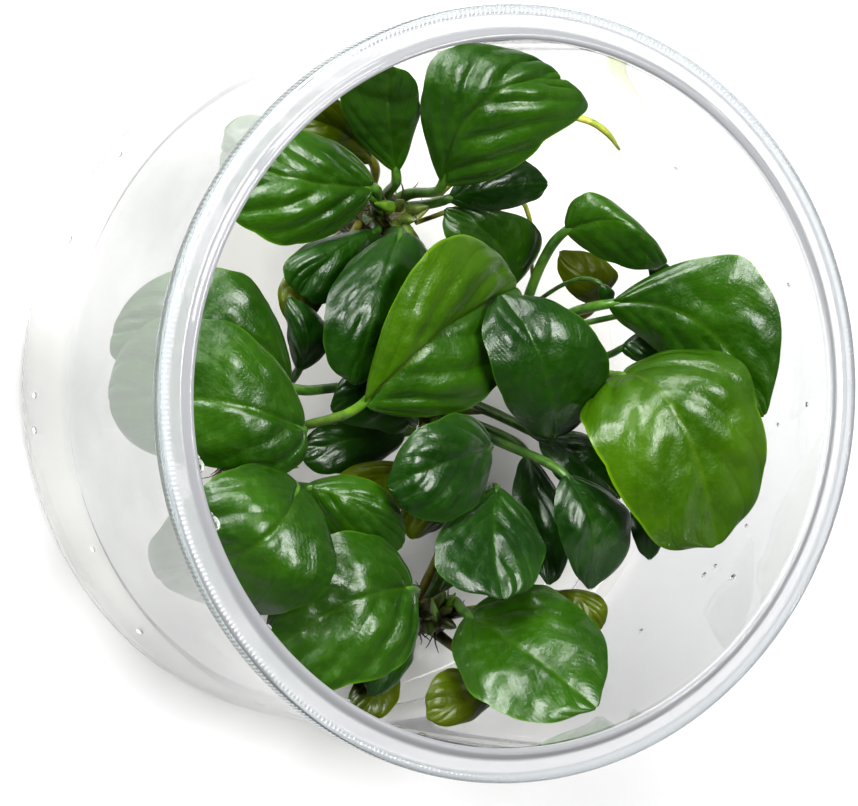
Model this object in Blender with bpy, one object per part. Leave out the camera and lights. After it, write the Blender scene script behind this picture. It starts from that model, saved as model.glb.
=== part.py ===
"""A clear tissue-culture cup with a clump of round-leaved dwarf anubias on its gel.

The cup stands on its flat base with its open mouth up. Leaves are laid out as they show
to someone looking into the mouth: each of a leaf's five points is given as millimetres
across and up from a point on the cup's axis just below its mouth, as seen, and its height
above the table.
"""
import math

import bmesh
import bpy
from mathutils import Matrix, Vector

MM = 0.001
GAP = 0.3

# Cup, millimetres
CUP_HEIGHT = 60.0
RIM_RADIUS = 50.0
SKIRT_FOOT = 57.0
SKIRT_WALL = 1.1
FLANGE_UNDER = 58.6
WALL_TOP_RADIUS = 46.6
WALL_BASE_RADIUS = 45.6
BASE_CORNER = 4.0
WALL = 1.2
FLOOR = 1.2
FLOOR_STEP_RADIUS = 33.4
FLOOR_STEP = 0.6
LIP_HEIGHT = 0.6
LIP_WIDTH = 0.9
RIM_ROUNDING = 0.4
FLOOR_STEP_SLOPE = 0.4
CUP_STEPS = 36
CORNER_STEPS = 2

# Gel, millimetres
GEL_TOP = 18.0
GEL_MENISCUS = 0.9
GEL_CORNER = 2.6
MENISCUS_WIDTH = 1.8
MENISCUS_SAG = 0.28
MENISCUS_LEFT = 0.39
GEL_STEPS = 24

# Viewing direction used for the layout of the leaves
VIEW_TILT = math.radians(26.0)
VIEW_TURN = math.radians(3.7)
VIEW_DISTANCE = 900.0
VIEW_CENTRE = 56.0
AIM_ACROSS = -9.8
AIM_UP = -1.2

# Leaf build, millimetres
PETIOLE_RADIUS = 0.75
PETIOLE_RINGS = 4
BLADE_RINGS = 7
BLADE_HALF_THICKNESS = 0.25
BLADE_CROWN = 0.07
WIDEST = 0.46
ROUND = 2.2
WEDGE = 1.5
TIP_ROUNDNESS = 1.9
TIP_RADIUS = 0.2
TIP_THINNING = 0.5
ARCH_PLACE = 0.55
ARCH_THICKNESS = 0.8
NECK_RINGS = 1.5
RING_POINTS = 8

# Bend of the petioles: share of the span, and the longest in millimetres
FOOT_PULL = 0.3
BASE_PULL = 0.35
LONGEST_PULL = 4.0

# Rhizomes: name, middle across, up and height of its top, top of the rhizome
CROWNS = {
    "upper": ((-13.5, 23.0), 32.5),
    "right": ((3.0, 6.0), 27.0),
    "middle": ((-7.5, -1.0), 27.0),
    "left": ((-31.5, -8.0), 27.0),
    "lower": ((-8.5, -28.5), 27.5),
}
CROWN_RADIUS = 2.6
CROWN_SIDES = 8
CROWN_LUMP = 0.08
ROOT_RADIUS = 0.6
ROOT_FOOT = 6.0
ROOT_START = 1.0
ROOT_LEAN = 0.12
ROOT_BEND = 0.03

# Rhizome outline: radius at depths below its top, then at depths below the gel's surface
CROWN_TOP = [(0.0, 1.1), (1.1, 2.1), (4.0, CROWN_RADIUS)]
CROWN_BOTTOM = [(-1.5, CROWN_RADIUS), (ROOT_START, 2.0), (3.0, 1.5 * ROOT_RADIUS),
                (7.0, ROOT_RADIUS), (GEL_TOP - ROOT_FOOT, 0.8 * ROOT_RADIUS)]

# Feet of the petioles, set round each rhizome in levels
FOOT_LEVELS = 3
FOOT_DEPTH = 2.2
FOOT_STEP = 2.7
FOOT_REACH = 3.76
FOOT_SPREAD = math.radians(52.0)
FOOT_RISE = math.radians(41.0)
SPREAD_ROUNDS = 60

# Leaves: name, shade, roundness at the base, then base, middle, tip, left edge and right
# edge of the blade, each as across, up, height. Left and right are as seen from the base.
LEAVES = [
    ("leaf_upper_1", "deep", ROUND, (-17, 26.5, 38), (-26.5, 27.5, 41), (-35, 30.3, 37),
     (-29.5, 19.5, 38), (-28, 34.5, 39)),
    ("leaf_upper_2", "deep", WEDGE, (-14, 28.5, 39), (-15, 36, 44.5), (-15, 41.7, 49.5),
     (-21.3, 37, 43), (-11, 37, 45)),
    ("leaf_upper_3", "olive", WEDGE, (-17, 30, 30.5), (-21.5, 34, 34), (-27, 35.5, 34),
     (-22.5, 30.5, 33), (-22, 38, 35)),
    ("leaf_upper_4", "deep", WEDGE, (-8, 27, 42), (-3, 37.5, 50), (7.5, 40.5, 49),
     (-9.5, 42.5, 48), (4.5, 31.5, 47)),
    ("leaf_upper_5", "dark", WEDGE, (-7.3, 25, 35.5), (-1.5, 26.5, 38.5), (5, 27, 38),
     (-2, 30.5, 37.5), (-1, 23.5, 36)),
    ("leaf_upper_6", "dark", ROUND, (-16.5, 21, 33), (-21.5, 18.5, 37), (-26, 13.5, 36),
     (-20, 13.5, 35.5), (-26.5, 18.5, 36.5)),
    ("leaf_upper_7", "dark", ROUND, (-13.5, 20.5, 38), (-16.5, 12, 43), (-19, 2, 40),
     (-10, 12, 40), (-23, 11.5, 41)),
    ("leaf_upper_8", "olive", ROUND, (-23, 17, 31), (-26, 13.5, 33), (-27.5, 9, 33),
     (-24, 11, 33), (-28.5, 15.5, 32)),
    ("leaf_right_1", "dark", WEDGE, (4.5, -5.5, 31), (9.5, -8.5, 35.5), (14.5, -13, 36.5),
     (12.5, -6, 35.5), (7, -11, 35.5)),
    ("leaf_right_2", "deep", WEDGE, (8, 21, 40), (15, 22, 45), (20.5, 17.5, 43),
     (11, 26, 43), (13.5, 17, 41)),
    ("leaf_right_3", "olive", WEDGE, (11.5, 11.5, 27.5), (10.5, 14.5, 30), (7.5, 18, 30),
     (8, 13.5, 29), (14, 16, 29.5)),
    ("leaf_right_4", "dark", WEDGE, (12.5, 14, 38.5), (13, 13, 38.5), (13, 11.5, 37.5),
     (14, 13, 38), (12, 13, 38)),
    ("leaf_right_5", "deep", ROUND, (20, 13, 38), (20, 15, 39), (19, 17, 39.5),
     (18.5, 15.5, 38.5), (21.5, 15.5, 38.5)),
    ("leaf_right_6", "deep", WEDGE, (13.5, 11.5, 41), (25, 9, 46.5), (33, -2, 47),
     (30.5, 17.5, 49.5), (20.5, 5, 41.5)),
    ("leaf_right_7", "dark", WEDGE, (15, 6, 36), (18, 6.5, 38), (22.5, 4, 38),
     (19.5, 8.5, 38), (17.5, 4, 37)),
    ("leaf_right_8", "bright", ROUND, (15, 2.6, 42.5), (22, -2.5, 51), (27, -18, 47),
     (31, 3, 51.5), (12.5, -9, 48)),
    ("leaf_middle_1", "dark", ROUND, (-12.5, -3, 33.5), (-17.5, 0, 36), (-22, -1.5, 34.5),
     (-17.5, -4.5, 34), (-18, 3, 35.5)),
    ("leaf_middle_2", "dark", ROUND, (-13, -5, 26.5), (-20, -6, 28.5), (-26, -7.5, 28),
     (-20, -10, 28), (-20, -2.5, 28)),
    ("leaf_middle_3", "dark", ROUND, (-2, -7, 40), (-8, -9, 45), (-14.5, -11.5, 43),
     (-7, -16, 43), (-8.5, -3, 44)),
    ("leaf_middle_4", "dark", WEDGE, (3, -8, 28), (4.5, -15, 32.5), (5.5, -24, 33.5),
     (8, -16, 33), (1, -13.5, 31.5)),
    ("leaf_middle_5", "dark", WEDGE, (8, -10.5, 41), (11, -16.5, 43), (11, -24.5, 40),
     (16, -15.5, 41), (6.5, -16, 42)),
    ("leaf_middle_6", "dark", ROUND, (6.5, -5.5, 38), (5, 3.5, 46), (0, 12, 44),
     (-1.5, 2.5, 45), (12.5, 6, 45.5)),
    ("leaf_middle_7", "olive", ROUND, (-12.5, -9.5, 30), (-17.5, -11.8, 33), (-20.5, -15.5, 32),
     (-14, -15, 32), (-21, -10, 32)),
    ("leaf_middle_8", "deep", WEDGE, (-27.5, 1, 34), (-35, 8, 39), (-49.5, 7.5, 30),
     (-37.5, 1, 35.5), (-34, 15.5, 38)),
    ("leaf_middle_9", "deep", WEDGE, (0.5, 13.5, 28.5), (-0.8, 19, 32.5), (-7, 23.5, 34),
     (-5, 16, 32), (4.3, 20.8, 31.5)),
    ("leaf_left_1", "bright", WEDGE, (-18, -1.5, 41.5), (-8.5, 7.5, 45.5), (1, 13.5, 39),
     (-10.5, 18, 48), (-2.5, -0.5, 41)),
    ("leaf_left_2", "dark", WEDGE, (-26.5, 3, 32), (-25.5, 7.5, 36), (-27.5, 12, 35),
     (-28, 7.5, 34), (-22.5, 7, 35)),
    ("leaf_left_3", "deep", ROUND, (-26, -4.5, 42), (-37.5, -1, 43), (-50, -1, 31),
     (-35, -10, 41), (-37.5, 9.5, 42)),
    ("leaf_left_4", "deep", ROUND, (-26.5, -12, 44), (-32, -19.5, 48), (-43.5, -23.5, 33),
     (-24, -26, 48), (-38.5, -12, 44)),
    ("leaf_left_5", "deep", ROUND, (-25.5, -12, 38), (-19.5, -14, 41), (-13.5, -19, 38),
     (-17, -11.5, 40), (-20.5, -19, 38)),
    ("leaf_lower_1", "deep", ROUND, (-12, -25, 40), (-20, -27, 43), (-30.5, -33.5, 37),
     (-17, -37, 42), (-22, -18, 41)),
    ("leaf_lower_2", "dark", WEDGE, (-12, -29.5, 34), (-14, -33.5, 38), (-17, -38.5, 37),
     (-12, -34.5, 37), (-17.5, -31.5, 37)),
    ("leaf_lower_3", "olive", WEDGE, (-14.5, -33.5, 30), (-16.5, -38, 33), (-19, -41.5, 33),
     (-14, -39.5, 33), (-19.5, -37, 33)),
    ("leaf_lower_4", "dark", WEDGE, (-1, -12, 38), (-1.5, -18.5, 43), (-0.5, -25.5, 46),
     (5, -20, 43), (-9.5, -20, 43)),
    ("leaf_lower_5", "deep", ROUND, (-4.5, -28.5, 36), (3, -33.5, 45), (11, -39.8, 49.5),
     (9, -26.5, 42), (-3, -39.5, 45)),
    ("leaf_lower_6", "olive", WEDGE, (-0.5, -38, 34), (-5, -39.5, 38), (-9.5, -41.5, 38),
     (-4.5, -42, 37), (-7.5, -35.5, 37)),
    ("leaf_lower_7", "olive", WEDGE, (6.5, -25.5, 33), (9.5, -26.5, 37), (12, -30, 37),
     (12, -26, 37), (8, -29.5, 36)),
    ("leaf_lower_8", "dark", WEDGE, (18, -11.5, 31), (18, -16, 35), (18.5, -21, 35),
     (20.5, -16, 34.5), (16, -16, 34.5)),
    ("leaf_lower_9", "olive", ROUND, (-6.5, -13.5, 34), (-10.5, -14.5, 37), (-13, -16, 36),
     (-10.5, -18.5, 36), (-11.5, -11, 36)),
]

# Colour, roughness and metallic value of each material
FINISHES = {
    "clear": ((0.93, 0.95, 0.96), 0.06, 0.0),
    "gel": ((0.93, 0.92, 0.88), 0.2, 0.0),
    "rhizome": ((0.16, 0.12, 0.04), 0.6, 0.0),
    "deep": ((0.035, 0.15, 0.012), 0.3, 0.0),
    "dark": ((0.018, 0.09, 0.012), 0.3, 0.0),
    "bright": ((0.06, 0.22, 0.014), 0.28, 0.0),
    "olive": ((0.2, 0.25, 0.015), 0.35, 0.0),
}


def clear_scene():
    """Remove every object of the scene."""
    for thing in list(bpy.data.objects):
        bpy.data.objects.remove(thing, do_unlink=True)


def finish(name):
    """Return the material of this name, made on first use."""
    material = bpy.data.materials.get(name)
    if material is None:
        colour, roughness, metallic = FINISHES[name]
        material = bpy.data.materials.new(name)
        material.use_nodes = True
        shader = material.node_tree.nodes["Principled BSDF"]
        shader.inputs["Base Color"].default_value = (*colour, 1.0)
        shader.inputs["Roughness"].default_value = roughness
        shader.inputs["Metallic"].default_value = metallic
        material.diffuse_color = (*colour, 1.0)
    return material


def add_object(name, bm, material):
    """Turn a bmesh in millimetres into a named object in metres."""
    bmesh.ops.scale(bm, vec=(MM, MM, MM), verts=bm.verts)
    bmesh.ops.recalc_face_normals(bm, faces=bm.faces)
    mesh = bpy.data.meshes.new(name)
    bm.to_mesh(mesh)
    bm.free()
    mesh.shade_smooth()
    mesh.set_sharp_from_angle(angle=math.radians(40))
    mesh.materials.append(finish(material))
    thing = bpy.data.objects.new(name, mesh)
    bpy.context.scene.collection.objects.link(thing)
    return thing


def view_axes():
    """Return the right, up and towards-viewer directions of the layout's view."""
    towards = Vector((0, -math.sin(VIEW_TILT), math.cos(VIEW_TILT)))
    plain_up = Vector((0, math.cos(VIEW_TILT), math.sin(VIEW_TILT)))
    plain_right = Vector((1, 0, 0))
    right = math.cos(VIEW_TURN) * plain_up - math.sin(VIEW_TURN) * plain_right
    up = -math.sin(VIEW_TURN) * plain_up - math.cos(VIEW_TURN) * plain_right
    return right, up, towards


def seen_at(across, up, height):
    """Return the point at this height that shows at this place in the view."""
    right, upward, towards = view_axes()
    centre = Vector((0, 0, VIEW_CENTRE))
    aim = centre + AIM_ACROSS * right + AIM_UP * upward
    eye = aim + VIEW_DISTANCE * towards
    ray = (across - AIM_ACROSS) * right + (up - AIM_UP) * upward - VIEW_DISTANCE * towards
    return eye + ray * ((height - eye.z) / ray.z)


def arc_points(centre, radius, start, end, steps):
    """Return points along an arc in the profile plane, angles in degrees."""
    points = []
    for step in range(steps + 1):
        angle = math.radians(start + (end - start) * step / steps)
        points.append((centre[0] + radius * math.cos(angle),
                       centre[1] + radius * math.sin(angle)))
    return points


def spin_profile(points, closed, steps):
    """Turn a profile of radius and height pairs about the upright axis."""
    bm = bmesh.new()
    verts = [bm.verts.new((radius, 0, height)) for radius, height in points]
    ends = verts[1:] + ([verts[0]] if closed else [])
    edges = [bm.edges.new(pair) for pair in zip(verts, ends)]
    bmesh.ops.spin(bm, geom=verts + edges, cent=(0, 0, 0), axis=(0, 0, 1),
                   angle=math.tau, steps=steps, use_duplicate=False)
    bmesh.ops.remove_doubles(bm, verts=bm.verts, dist=1e-4)
    bmesh.ops.dissolve_degenerate(bm, edges=bm.edges, dist=1e-4)
    return bm


def wall_radius(height):
    """Return the inner radius of the cup's wall at this height."""
    share = (height - BASE_CORNER) / (SKIRT_FOOT - BASE_CORNER)
    return WALL_BASE_RADIUS + (WALL_TOP_RADIUS - WALL_BASE_RADIUS) * share - WALL


def build_cup():
    """Cup with a stepped floor, a tapered wall, a skirted rim and a raised lip."""
    mouth = wall_radius(CUP_HEIGHT)
    floor_top = FLOOR + FLOOR_STEP
    inner_corner = BASE_CORNER - WALL
    centre = WALL_BASE_RADIUS - BASE_CORNER
    skirt_inner = RIM_RADIUS - SKIRT_WALL
    shoulder = CUP_HEIGHT - LIP_HEIGHT
    points = [(0, 0)]
    points += arc_points((centre, BASE_CORNER), BASE_CORNER, -90, 0, CORNER_STEPS)
    points += [(WALL_TOP_RADIUS, SKIRT_FOOT), (WALL_TOP_RADIUS, FLANGE_UNDER),
               (skirt_inner, FLANGE_UNDER), (skirt_inner, SKIRT_FOOT),
               (RIM_RADIUS, SKIRT_FOOT), (RIM_RADIUS, shoulder - RIM_ROUNDING),
               (RIM_RADIUS - RIM_ROUNDING, shoulder), (mouth + LIP_WIDTH, shoulder),
               (mouth + LIP_WIDTH, CUP_HEIGHT), (mouth, CUP_HEIGHT)]
    inner = arc_points((centre, floor_top + inner_corner), inner_corner, 0, -90, CORNER_STEPS)
    points += [(wall_radius(inner[0][1]), inner[0][1])] + inner[1:]
    points += [(FLOOR_STEP_RADIUS + FLOOR_STEP_SLOPE, floor_top), (FLOOR_STEP_RADIUS, FLOOR),
               (0, FLOOR)]
    add_object("cup", spin_profile(points, False, CUP_STEPS), "clear")


def gel_profile():
    """Return the gel's turned outline, clear of the cup by the gap."""
    under = FLOOR + FLOOR_STEP + GAP
    reach = wall_radius(under + GEL_CORNER) - GAP
    points = [(0, under)]
    points += arc_points((reach - GEL_CORNER, under + GEL_CORNER), GEL_CORNER, -90, 0, 2)
    edge = wall_radius(GEL_TOP) - GAP
    points += [(edge, GEL_TOP + GEL_MENISCUS),
               (edge - MENISCUS_WIDTH * MENISCUS_SAG, GEL_TOP + GEL_MENISCUS * MENISCUS_LEFT),
               (edge - MENISCUS_WIDTH, GEL_TOP), (0, GEL_TOP)]
    return points


def loft(rings, name, material):
    """Bridge rings of equal point counts and close both ends."""
    bm = bmesh.new()
    rows = [[bm.verts.new(point) for point in ring] for ring in rings]
    count = len(rows[0])
    for near, far in zip(rows, rows[1:]):
        for i in range(count):
            j = (i + 1) % count
            bm.faces.new((near[i], near[j], far[j], far[i]))
    bm.faces.new(rows[0])
    bm.faces.new(list(reversed(rows[-1])))
    return add_object(name, bm, material)


def crown_rings(place, top, grow):
    """Return the rings of a rhizome with its main root, made fatter by grow."""
    profile = [(top - drop, radius) for drop, radius in CROWN_TOP]
    profile += [(GEL_TOP - depth, radius) for depth, radius in CROWN_BOTTOM]
    rings = []
    for height, radius in profile:
        depth = max(0.0, GEL_TOP - ROOT_START - height)
        middle = place + Vector((ROOT_LEAN * depth, ROOT_BEND * depth * depth, 0))
        ring = []
        for side in range(CROWN_SIDES):
            angle = math.tau * side / CROWN_SIDES
            lump = 1.0 + CROWN_LUMP * math.sin(3 * angle + height)
            reach = radius * lump + grow
            ring.append((middle.x + reach * math.cos(angle),
                         middle.y + reach * math.sin(angle), height))
        rings.append(ring)
    last = rings[-1]
    if grow:
        rings[-1] = [(x, y, height - grow) for x, y, height in last]
    return rings


def crown_place(name):
    """Return the upright axis of a rhizome on the table plane."""
    (across, up), top = CROWNS[name]
    point = seen_at(across, up, top)
    return Vector((point.x, point.y, 0))


def build_crowns():
    """Return the pocket cutters of the rhizomes, which stand in the gel."""
    cutters = []
    for name, (_, top) in CROWNS.items():
        place = crown_place(name)
        loft(crown_rings(place, top, 0), "rhizome_" + name, "rhizome")
        cutter = loft(crown_rings(place, top, GAP), "pocket_" + name, "gel")
        cutter.hide_render = True
        cutter.display_type = "WIRE"
        cutters.append(cutter)
    return cutters


def build_gel(cutters):
    """Gel disc with a pocket for each rhizome and its root."""
    gel = add_object("gel", spin_profile(gel_profile(), False, GEL_STEPS), "gel")
    for cutter in cutters:
        cut = gel.modifiers.new(cutter.name, "BOOLEAN")
        cut.operation = "DIFFERENCE"
        cut.solver = "EXACT"
        cut.object = cutter


def curve_point(start, middle, end, t):
    """Return a point of the parabola through three points, middle at one half."""
    control = 2 * middle - 0.5 * (start + end)
    return (1 - t) ** 2 * start + 2 * t * (1 - t) * control + t ** 2 * end


def curve_slope(start, middle, end, t):
    """Return the direction of that parabola."""
    control = 2 * middle - 0.5 * (start + end)
    return (2 * (1 - t) * (control - start) + 2 * t * (end - control)).normalized()


def half_width(t, roundness):
    """Return the blade's share of its greatest half width at this station."""
    if t < WIDEST:
        return (1 - (1 - t / WIDEST) ** roundness) ** (1 / roundness)
    reach = min(1.0, (t - WIDEST) / (1 - WIDEST))
    return (1 - reach ** TIP_ROUNDNESS) ** (1 / TIP_ROUNDNESS)


def station(turn):
    """Return the place along the blade for a turn from 0 at base to pi at tip."""
    if turn < math.pi / 2:
        return WIDEST * (1 - math.cos(turn))
    return WIDEST + (1 - WIDEST) * -math.cos(turn)


def blade_rings(base, middle, tip, left, right, roundness):
    """Return the blade's rings: a thin lens on a midrib, arched on both sides."""
    at = curve_point(base, middle, tip, WIDEST)
    to_left = left - at
    to_right = right - at
    rings = []
    for step in range(BLADE_RINGS + 1):
        t = station(math.pi * step / BLADE_RINGS)
        point = curve_point(base, middle, tip, t)
        slope = curve_slope(base, middle, tip, t)
        share = half_width(t, roundness)
        side = (to_right - to_left).normalized()
        normal = side.cross(slope).normalized()
        early = max(0.0, 1 - step / NECK_RINGS)
        least = TIP_RADIUS + (PETIOLE_RADIUS - TIP_RADIUS) * early
        half = BLADE_HALF_THICKNESS * (TIP_THINNING if step == BLADE_RINGS else 1)
        thick = half + (PETIOLE_RADIUS - half) * early
        lefts = to_left * share - side * least
        rights = to_right * share + side * least
        lift = BLADE_CROWN * share * (to_left.length + to_right.length) * 0.5
        near_left = point + lefts * ARCH_PLACE + normal * lift
        near_right = point + rights * ARCH_PLACE + normal * lift
        skin = normal * thick * ARCH_THICKNESS
        rings.append([point + lefts, near_left + skin, point + normal * thick,
                      near_right + skin, point + rights, near_right - skin,
                      point - normal * thick, near_left - skin])
    return rings


def petiole_rings(foot, heading, base, slope, normal):
    """Return round rings from the foot on the rhizome to the blade's base."""
    span = (base - foot).length
    first = foot + heading * span * FOOT_PULL
    last = base - slope * min(span * BASE_PULL, LONGEST_PULL)
    rings = []
    for step in range(PETIOLE_RINGS):
        t = step / PETIOLE_RINGS
        point = ((1 - t) ** 3 * foot + 3 * t * (1 - t) ** 2 * first
                 + 3 * t * t * (1 - t) * last + t ** 3 * base)
        along = (3 * (1 - t) ** 2 * (first - foot) + 6 * t * (1 - t) * (last - first)
                 + 3 * t * t * (base - last)).normalized()
        side = along.cross(normal).normalized()
        above = side.cross(along).normalized()
        ring = []
        for i in range(RING_POINTS):
            angle = math.tau * i / RING_POINTS
            ring.append(point + PETIOLE_RADIUS * (-side * math.cos(angle)
                                                  + above * math.sin(angle)))
        rings.append(ring)
    return rings


def spread_feet(headings):
    """Turn feet that share a level apart until they keep their spacing."""
    for _ in range(SPREAD_ROUNDS):
        order = sorted(range(len(headings)), key=lambda i: headings[i])
        for near, far in zip(order, order[1:] + order[:1]):
            if near == far:
                continue
            gap = (headings[far] - headings[near]) % math.tau
            if gap < FOOT_SPREAD:
                push = 0.5 * (FOOT_SPREAD - gap)
                headings[near] -= push
                headings[far] += push
    return headings


def plan_feet(crown):
    """Return each of a rhizome's leaves with the foot and heading of its petiole."""
    place = crown_place(crown)
    top = CROWNS[crown][1]
    rows = [row for row in LEAVES if row[0].startswith("leaf_" + crown)]
    rows.sort(key=lambda row: -row[3][2])
    share = math.ceil(len(rows) / FOOT_LEVELS)
    angles = {}
    for row in rows:
        base = seen_at(*row[3])
        angles[row[0]] = math.atan2(base.y - place.y, base.x - place.x) % math.tau
    feet = {}
    for level in range(FOOT_LEVELS):
        names = [row[0] for row in rows[level * share:(level + 1) * share]]
        turned = spread_feet([angles[name] for name in names])
        height = top - FOOT_DEPTH - FOOT_STEP * level
        for name, angle in zip(names, turned):
            out = Vector((math.cos(angle), math.sin(angle), 0))
            foot = place + out * FOOT_REACH + Vector((0, 0, height))
            heading = out * math.cos(FOOT_RISE) + Vector((0, 0, math.sin(FOOT_RISE)))
            feet[name] = (foot, heading)
    return feet


def build_leaves():
    """Every leaf: its blade and petiole as one closed solid."""
    feet = {}
    for crown in CROWNS:
        feet.update(plan_feet(crown))
    for name, shade, roundness, *places in LEAVES:
        base, middle, tip, left, right = (seen_at(*place) for place in places)
        slope = curve_slope(base, middle, tip, 0)
        normal = (right - left).normalized().cross(slope).normalized()
        foot, heading = feet[name]
        rings = petiole_rings(foot, heading, base, slope, normal)
        loft(rings + blade_rings(base, middle, tip, left, right, roundness), name, shade)


def main():
    clear_scene()
    build_cup()
    build_gel(build_crowns())
    build_leaves()


main()
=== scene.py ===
"""Looks of a tissue-culture cup with a clump of round-leaved dwarf anubias on its gel.

The cup stands on its base. Leaves are laid out as they show to someone who looks into the
mouth: a point is millimetres across and up from a point just below the middle of the mouth,
as seen, and its height above the table.
"""
import math
import random

import bpy
import numpy as np
from mathutils import Matrix, Vector, noise


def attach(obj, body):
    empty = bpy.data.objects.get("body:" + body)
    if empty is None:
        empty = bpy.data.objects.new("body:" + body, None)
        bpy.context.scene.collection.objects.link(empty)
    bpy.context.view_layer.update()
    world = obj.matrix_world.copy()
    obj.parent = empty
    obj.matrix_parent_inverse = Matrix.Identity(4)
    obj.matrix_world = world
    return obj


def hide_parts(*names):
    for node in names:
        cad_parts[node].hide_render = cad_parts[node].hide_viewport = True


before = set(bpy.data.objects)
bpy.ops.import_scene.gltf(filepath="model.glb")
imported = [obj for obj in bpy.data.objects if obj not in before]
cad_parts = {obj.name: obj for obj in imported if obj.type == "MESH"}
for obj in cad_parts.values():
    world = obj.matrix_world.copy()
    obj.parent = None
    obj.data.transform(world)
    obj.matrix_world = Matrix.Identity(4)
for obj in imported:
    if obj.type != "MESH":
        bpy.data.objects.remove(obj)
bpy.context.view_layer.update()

MM = 0.001
BODY = "root"
SEED = 7

# Cup, millimetres
CUP_HEIGHT = 60.0
RIM_RADIUS = 50.0
SKIRT_FOOT = 57.0
SKIRT_WALL = 1.1
FLANGE_UNDER = 58.6
WALL_TOP_RADIUS = 46.6
WALL_BASE_RADIUS = 45.6
BASE_CORNER = 4.0
WALL = 1.2
FLOOR = 1.2
FLOOR_STEP_RADIUS = 33.4
FLOOR_STEP = 0.6
FLOOR_STEP_RUN = 0.4
SKIRT_RIBS = 480

# Lip, millimetres: a soft hump whose foot and crest lie this far out from the mouth
LIP_HEIGHT = 0.6
LIP_FOOT = 1.8
LIP_CREST = 0.54
LIP_FILLET = 0.5

# Fillets of the flange's corners, the skirt's foot and the rim's shoulder, millimetres
FLANGE_FILLET = 0.4
FOOT_FILLET = 0.3
SHOULDER_FILLET = 0.6

# Steps round the turned pieces, and along their arcs
CUP_STEPS = 320
RHIZOME_STEPS = 28
CORNER_STEPS = 8
FILLET_STEPS = 3
SHOULDER_STEPS = 5
LIP_STEPS = 12
LIP_FILLET_STEPS = 6
GEL_CORNER_STEPS = 5
MENISCUS_STEPS = 8

# How near to its ends a long straight gets a support point, millimetres
SUPPORT = 0.2

# Points nearer than this are one, metres, and edges sharper than these stay crisp, radians
MERGE = 0.000001
CRISP_TURNED = math.radians(32)
CRISP_TUBE = math.radians(60)
CRISP_BLADE = math.radians(50)
CRISP_BEAD = math.radians(50)

# Gel, millimetres: its edge climbs the wall by the meniscus, over this reach and curve
GEL_TOP = 18.0
GEL_MENISCUS = 0.9
MENISCUS_REACH = 2.2
MENISCUS_CURVE = 2.4
GEL_CLEARANCE = 0.12
GEL_CORNER = 2.6
GEL_CORNER_RISE = 1.5
GEL_LEVEL_RADIUS = 20.0

# How far up a face of the gel must point to be its open top
GEL_TOP_SLOPE = 0.1

# Refraction: where gel touches plastic, only their difference bends light
PLASTIC_INDEX = 1.49
GEL_INDEX = 1.34
WATER_INDEX = 1.33
SKIN_INDEX = 1.42

# View into the mouth, millimetres and radians
VIEW_TILT = math.radians(26.0)
VIEW_TURN = math.radians(3.7)
VIEW_DISTANCE = 900.0
VIEW_CENTRE = 56.0
AIM_ACROSS = -9.8
AIM_UP = -1.2
LENS = 293.6
SENSOR = 36.0

# How far the camera sees, metres
SIGHT = 10.0

# Plain white surroundings, brighter at the horizon than overhead, and the rise between them
HORIZON_LIGHT = 0.4
OVERHEAD_LIGHT = 0.03
HORIZON_BAND = (0.15, 0.7)
SKY_TINT = (0.92, 0.94, 0.95)

# Soft lights: direction as right, up and towards the viewer, size in metres, power
LIGHTS = {
    "key": ((-0.4, 0.55, 0.95), (0.7, 0.5), 20.0),
    "top": ((0.15, 0.9, 0.8), (0.6, 0.3), 8.0),
    "fill": ((0.6, 0.1, 0.9), (0.5, 0.6), 18.0),
}
LIGHT_DISTANCE = 1.3
LIGHT_TARGET = (0, 0, 0.03)

# Studio floor: side in metres, squares, and its level, in millimetres, inside the cup's base
STUDIO_SIDE = 4
STUDIO_SQUARES = 8
STUDIO_LEVEL = 0.02
STUDIO_TONES = ((0.68, 0.68, 0.68), (0.70, 0.70, 0.695))
STUDIO_MOTTLE = (3.0, 2.0)
STUDIO_ROUGHNESS = 0.7

# Blades: millimetres, shares of the blade's own width and length, and exponents
WIDEST = 0.46
ROUND = 2.2
WEDGE = 1.5
BLADE_CROWN = 0.07
CROWN_SKEW = 1.16
BLADE_THICKNESS = 0.42
MARGIN_THINNING = 0.55
BLADE_COLUMNS = 44
BLADE_ROWS = 60
GROOVE_WIDTH = 0.55
GROOVE_FADE = 0.7
TIP_START = 0.86
TIP_WIDTH = 0.2
LOBE_REACH = 0.3
LOBE_WIDTH = 0.8

# Half the width from which a blade has its full relief, millimetres
LARGE_BLADE = 8.0

# How far the phase of the waves moves on from one leaf to the next
LEAF_PHASE = 1.7

# Margin: scallops between the veins, and two ragged waves as depth and rate
SCALLOP = 0.03
RAGGED_BROAD = (0.032, 8)
RAGGED_FINE = (0.014, 21)

# Relief between the veins and along the margin: mean of a vein's hump, its sharpness, how
# fast it fades out at the midrib, the margin and the ends, and the rates of waves and dents
HUMP_MEAN = 0.6
HUMP_POWER = 0.9
MIDRIB_FADE = 5
MARGIN_FADE = 5
ENDS_FADE = 1.6
WAVE_RATES = (7.5, 15)
DENT_SCALES = (0.21, 0.5)

# Side veins: how many pairs, how far they sweep towards the tip, and how the sides stagger
VEINS = 5.0
VEIN_SWEEP = 0.40
VEIN_POWER = 1.25
VEIN_STAGGER = 0.35

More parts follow.
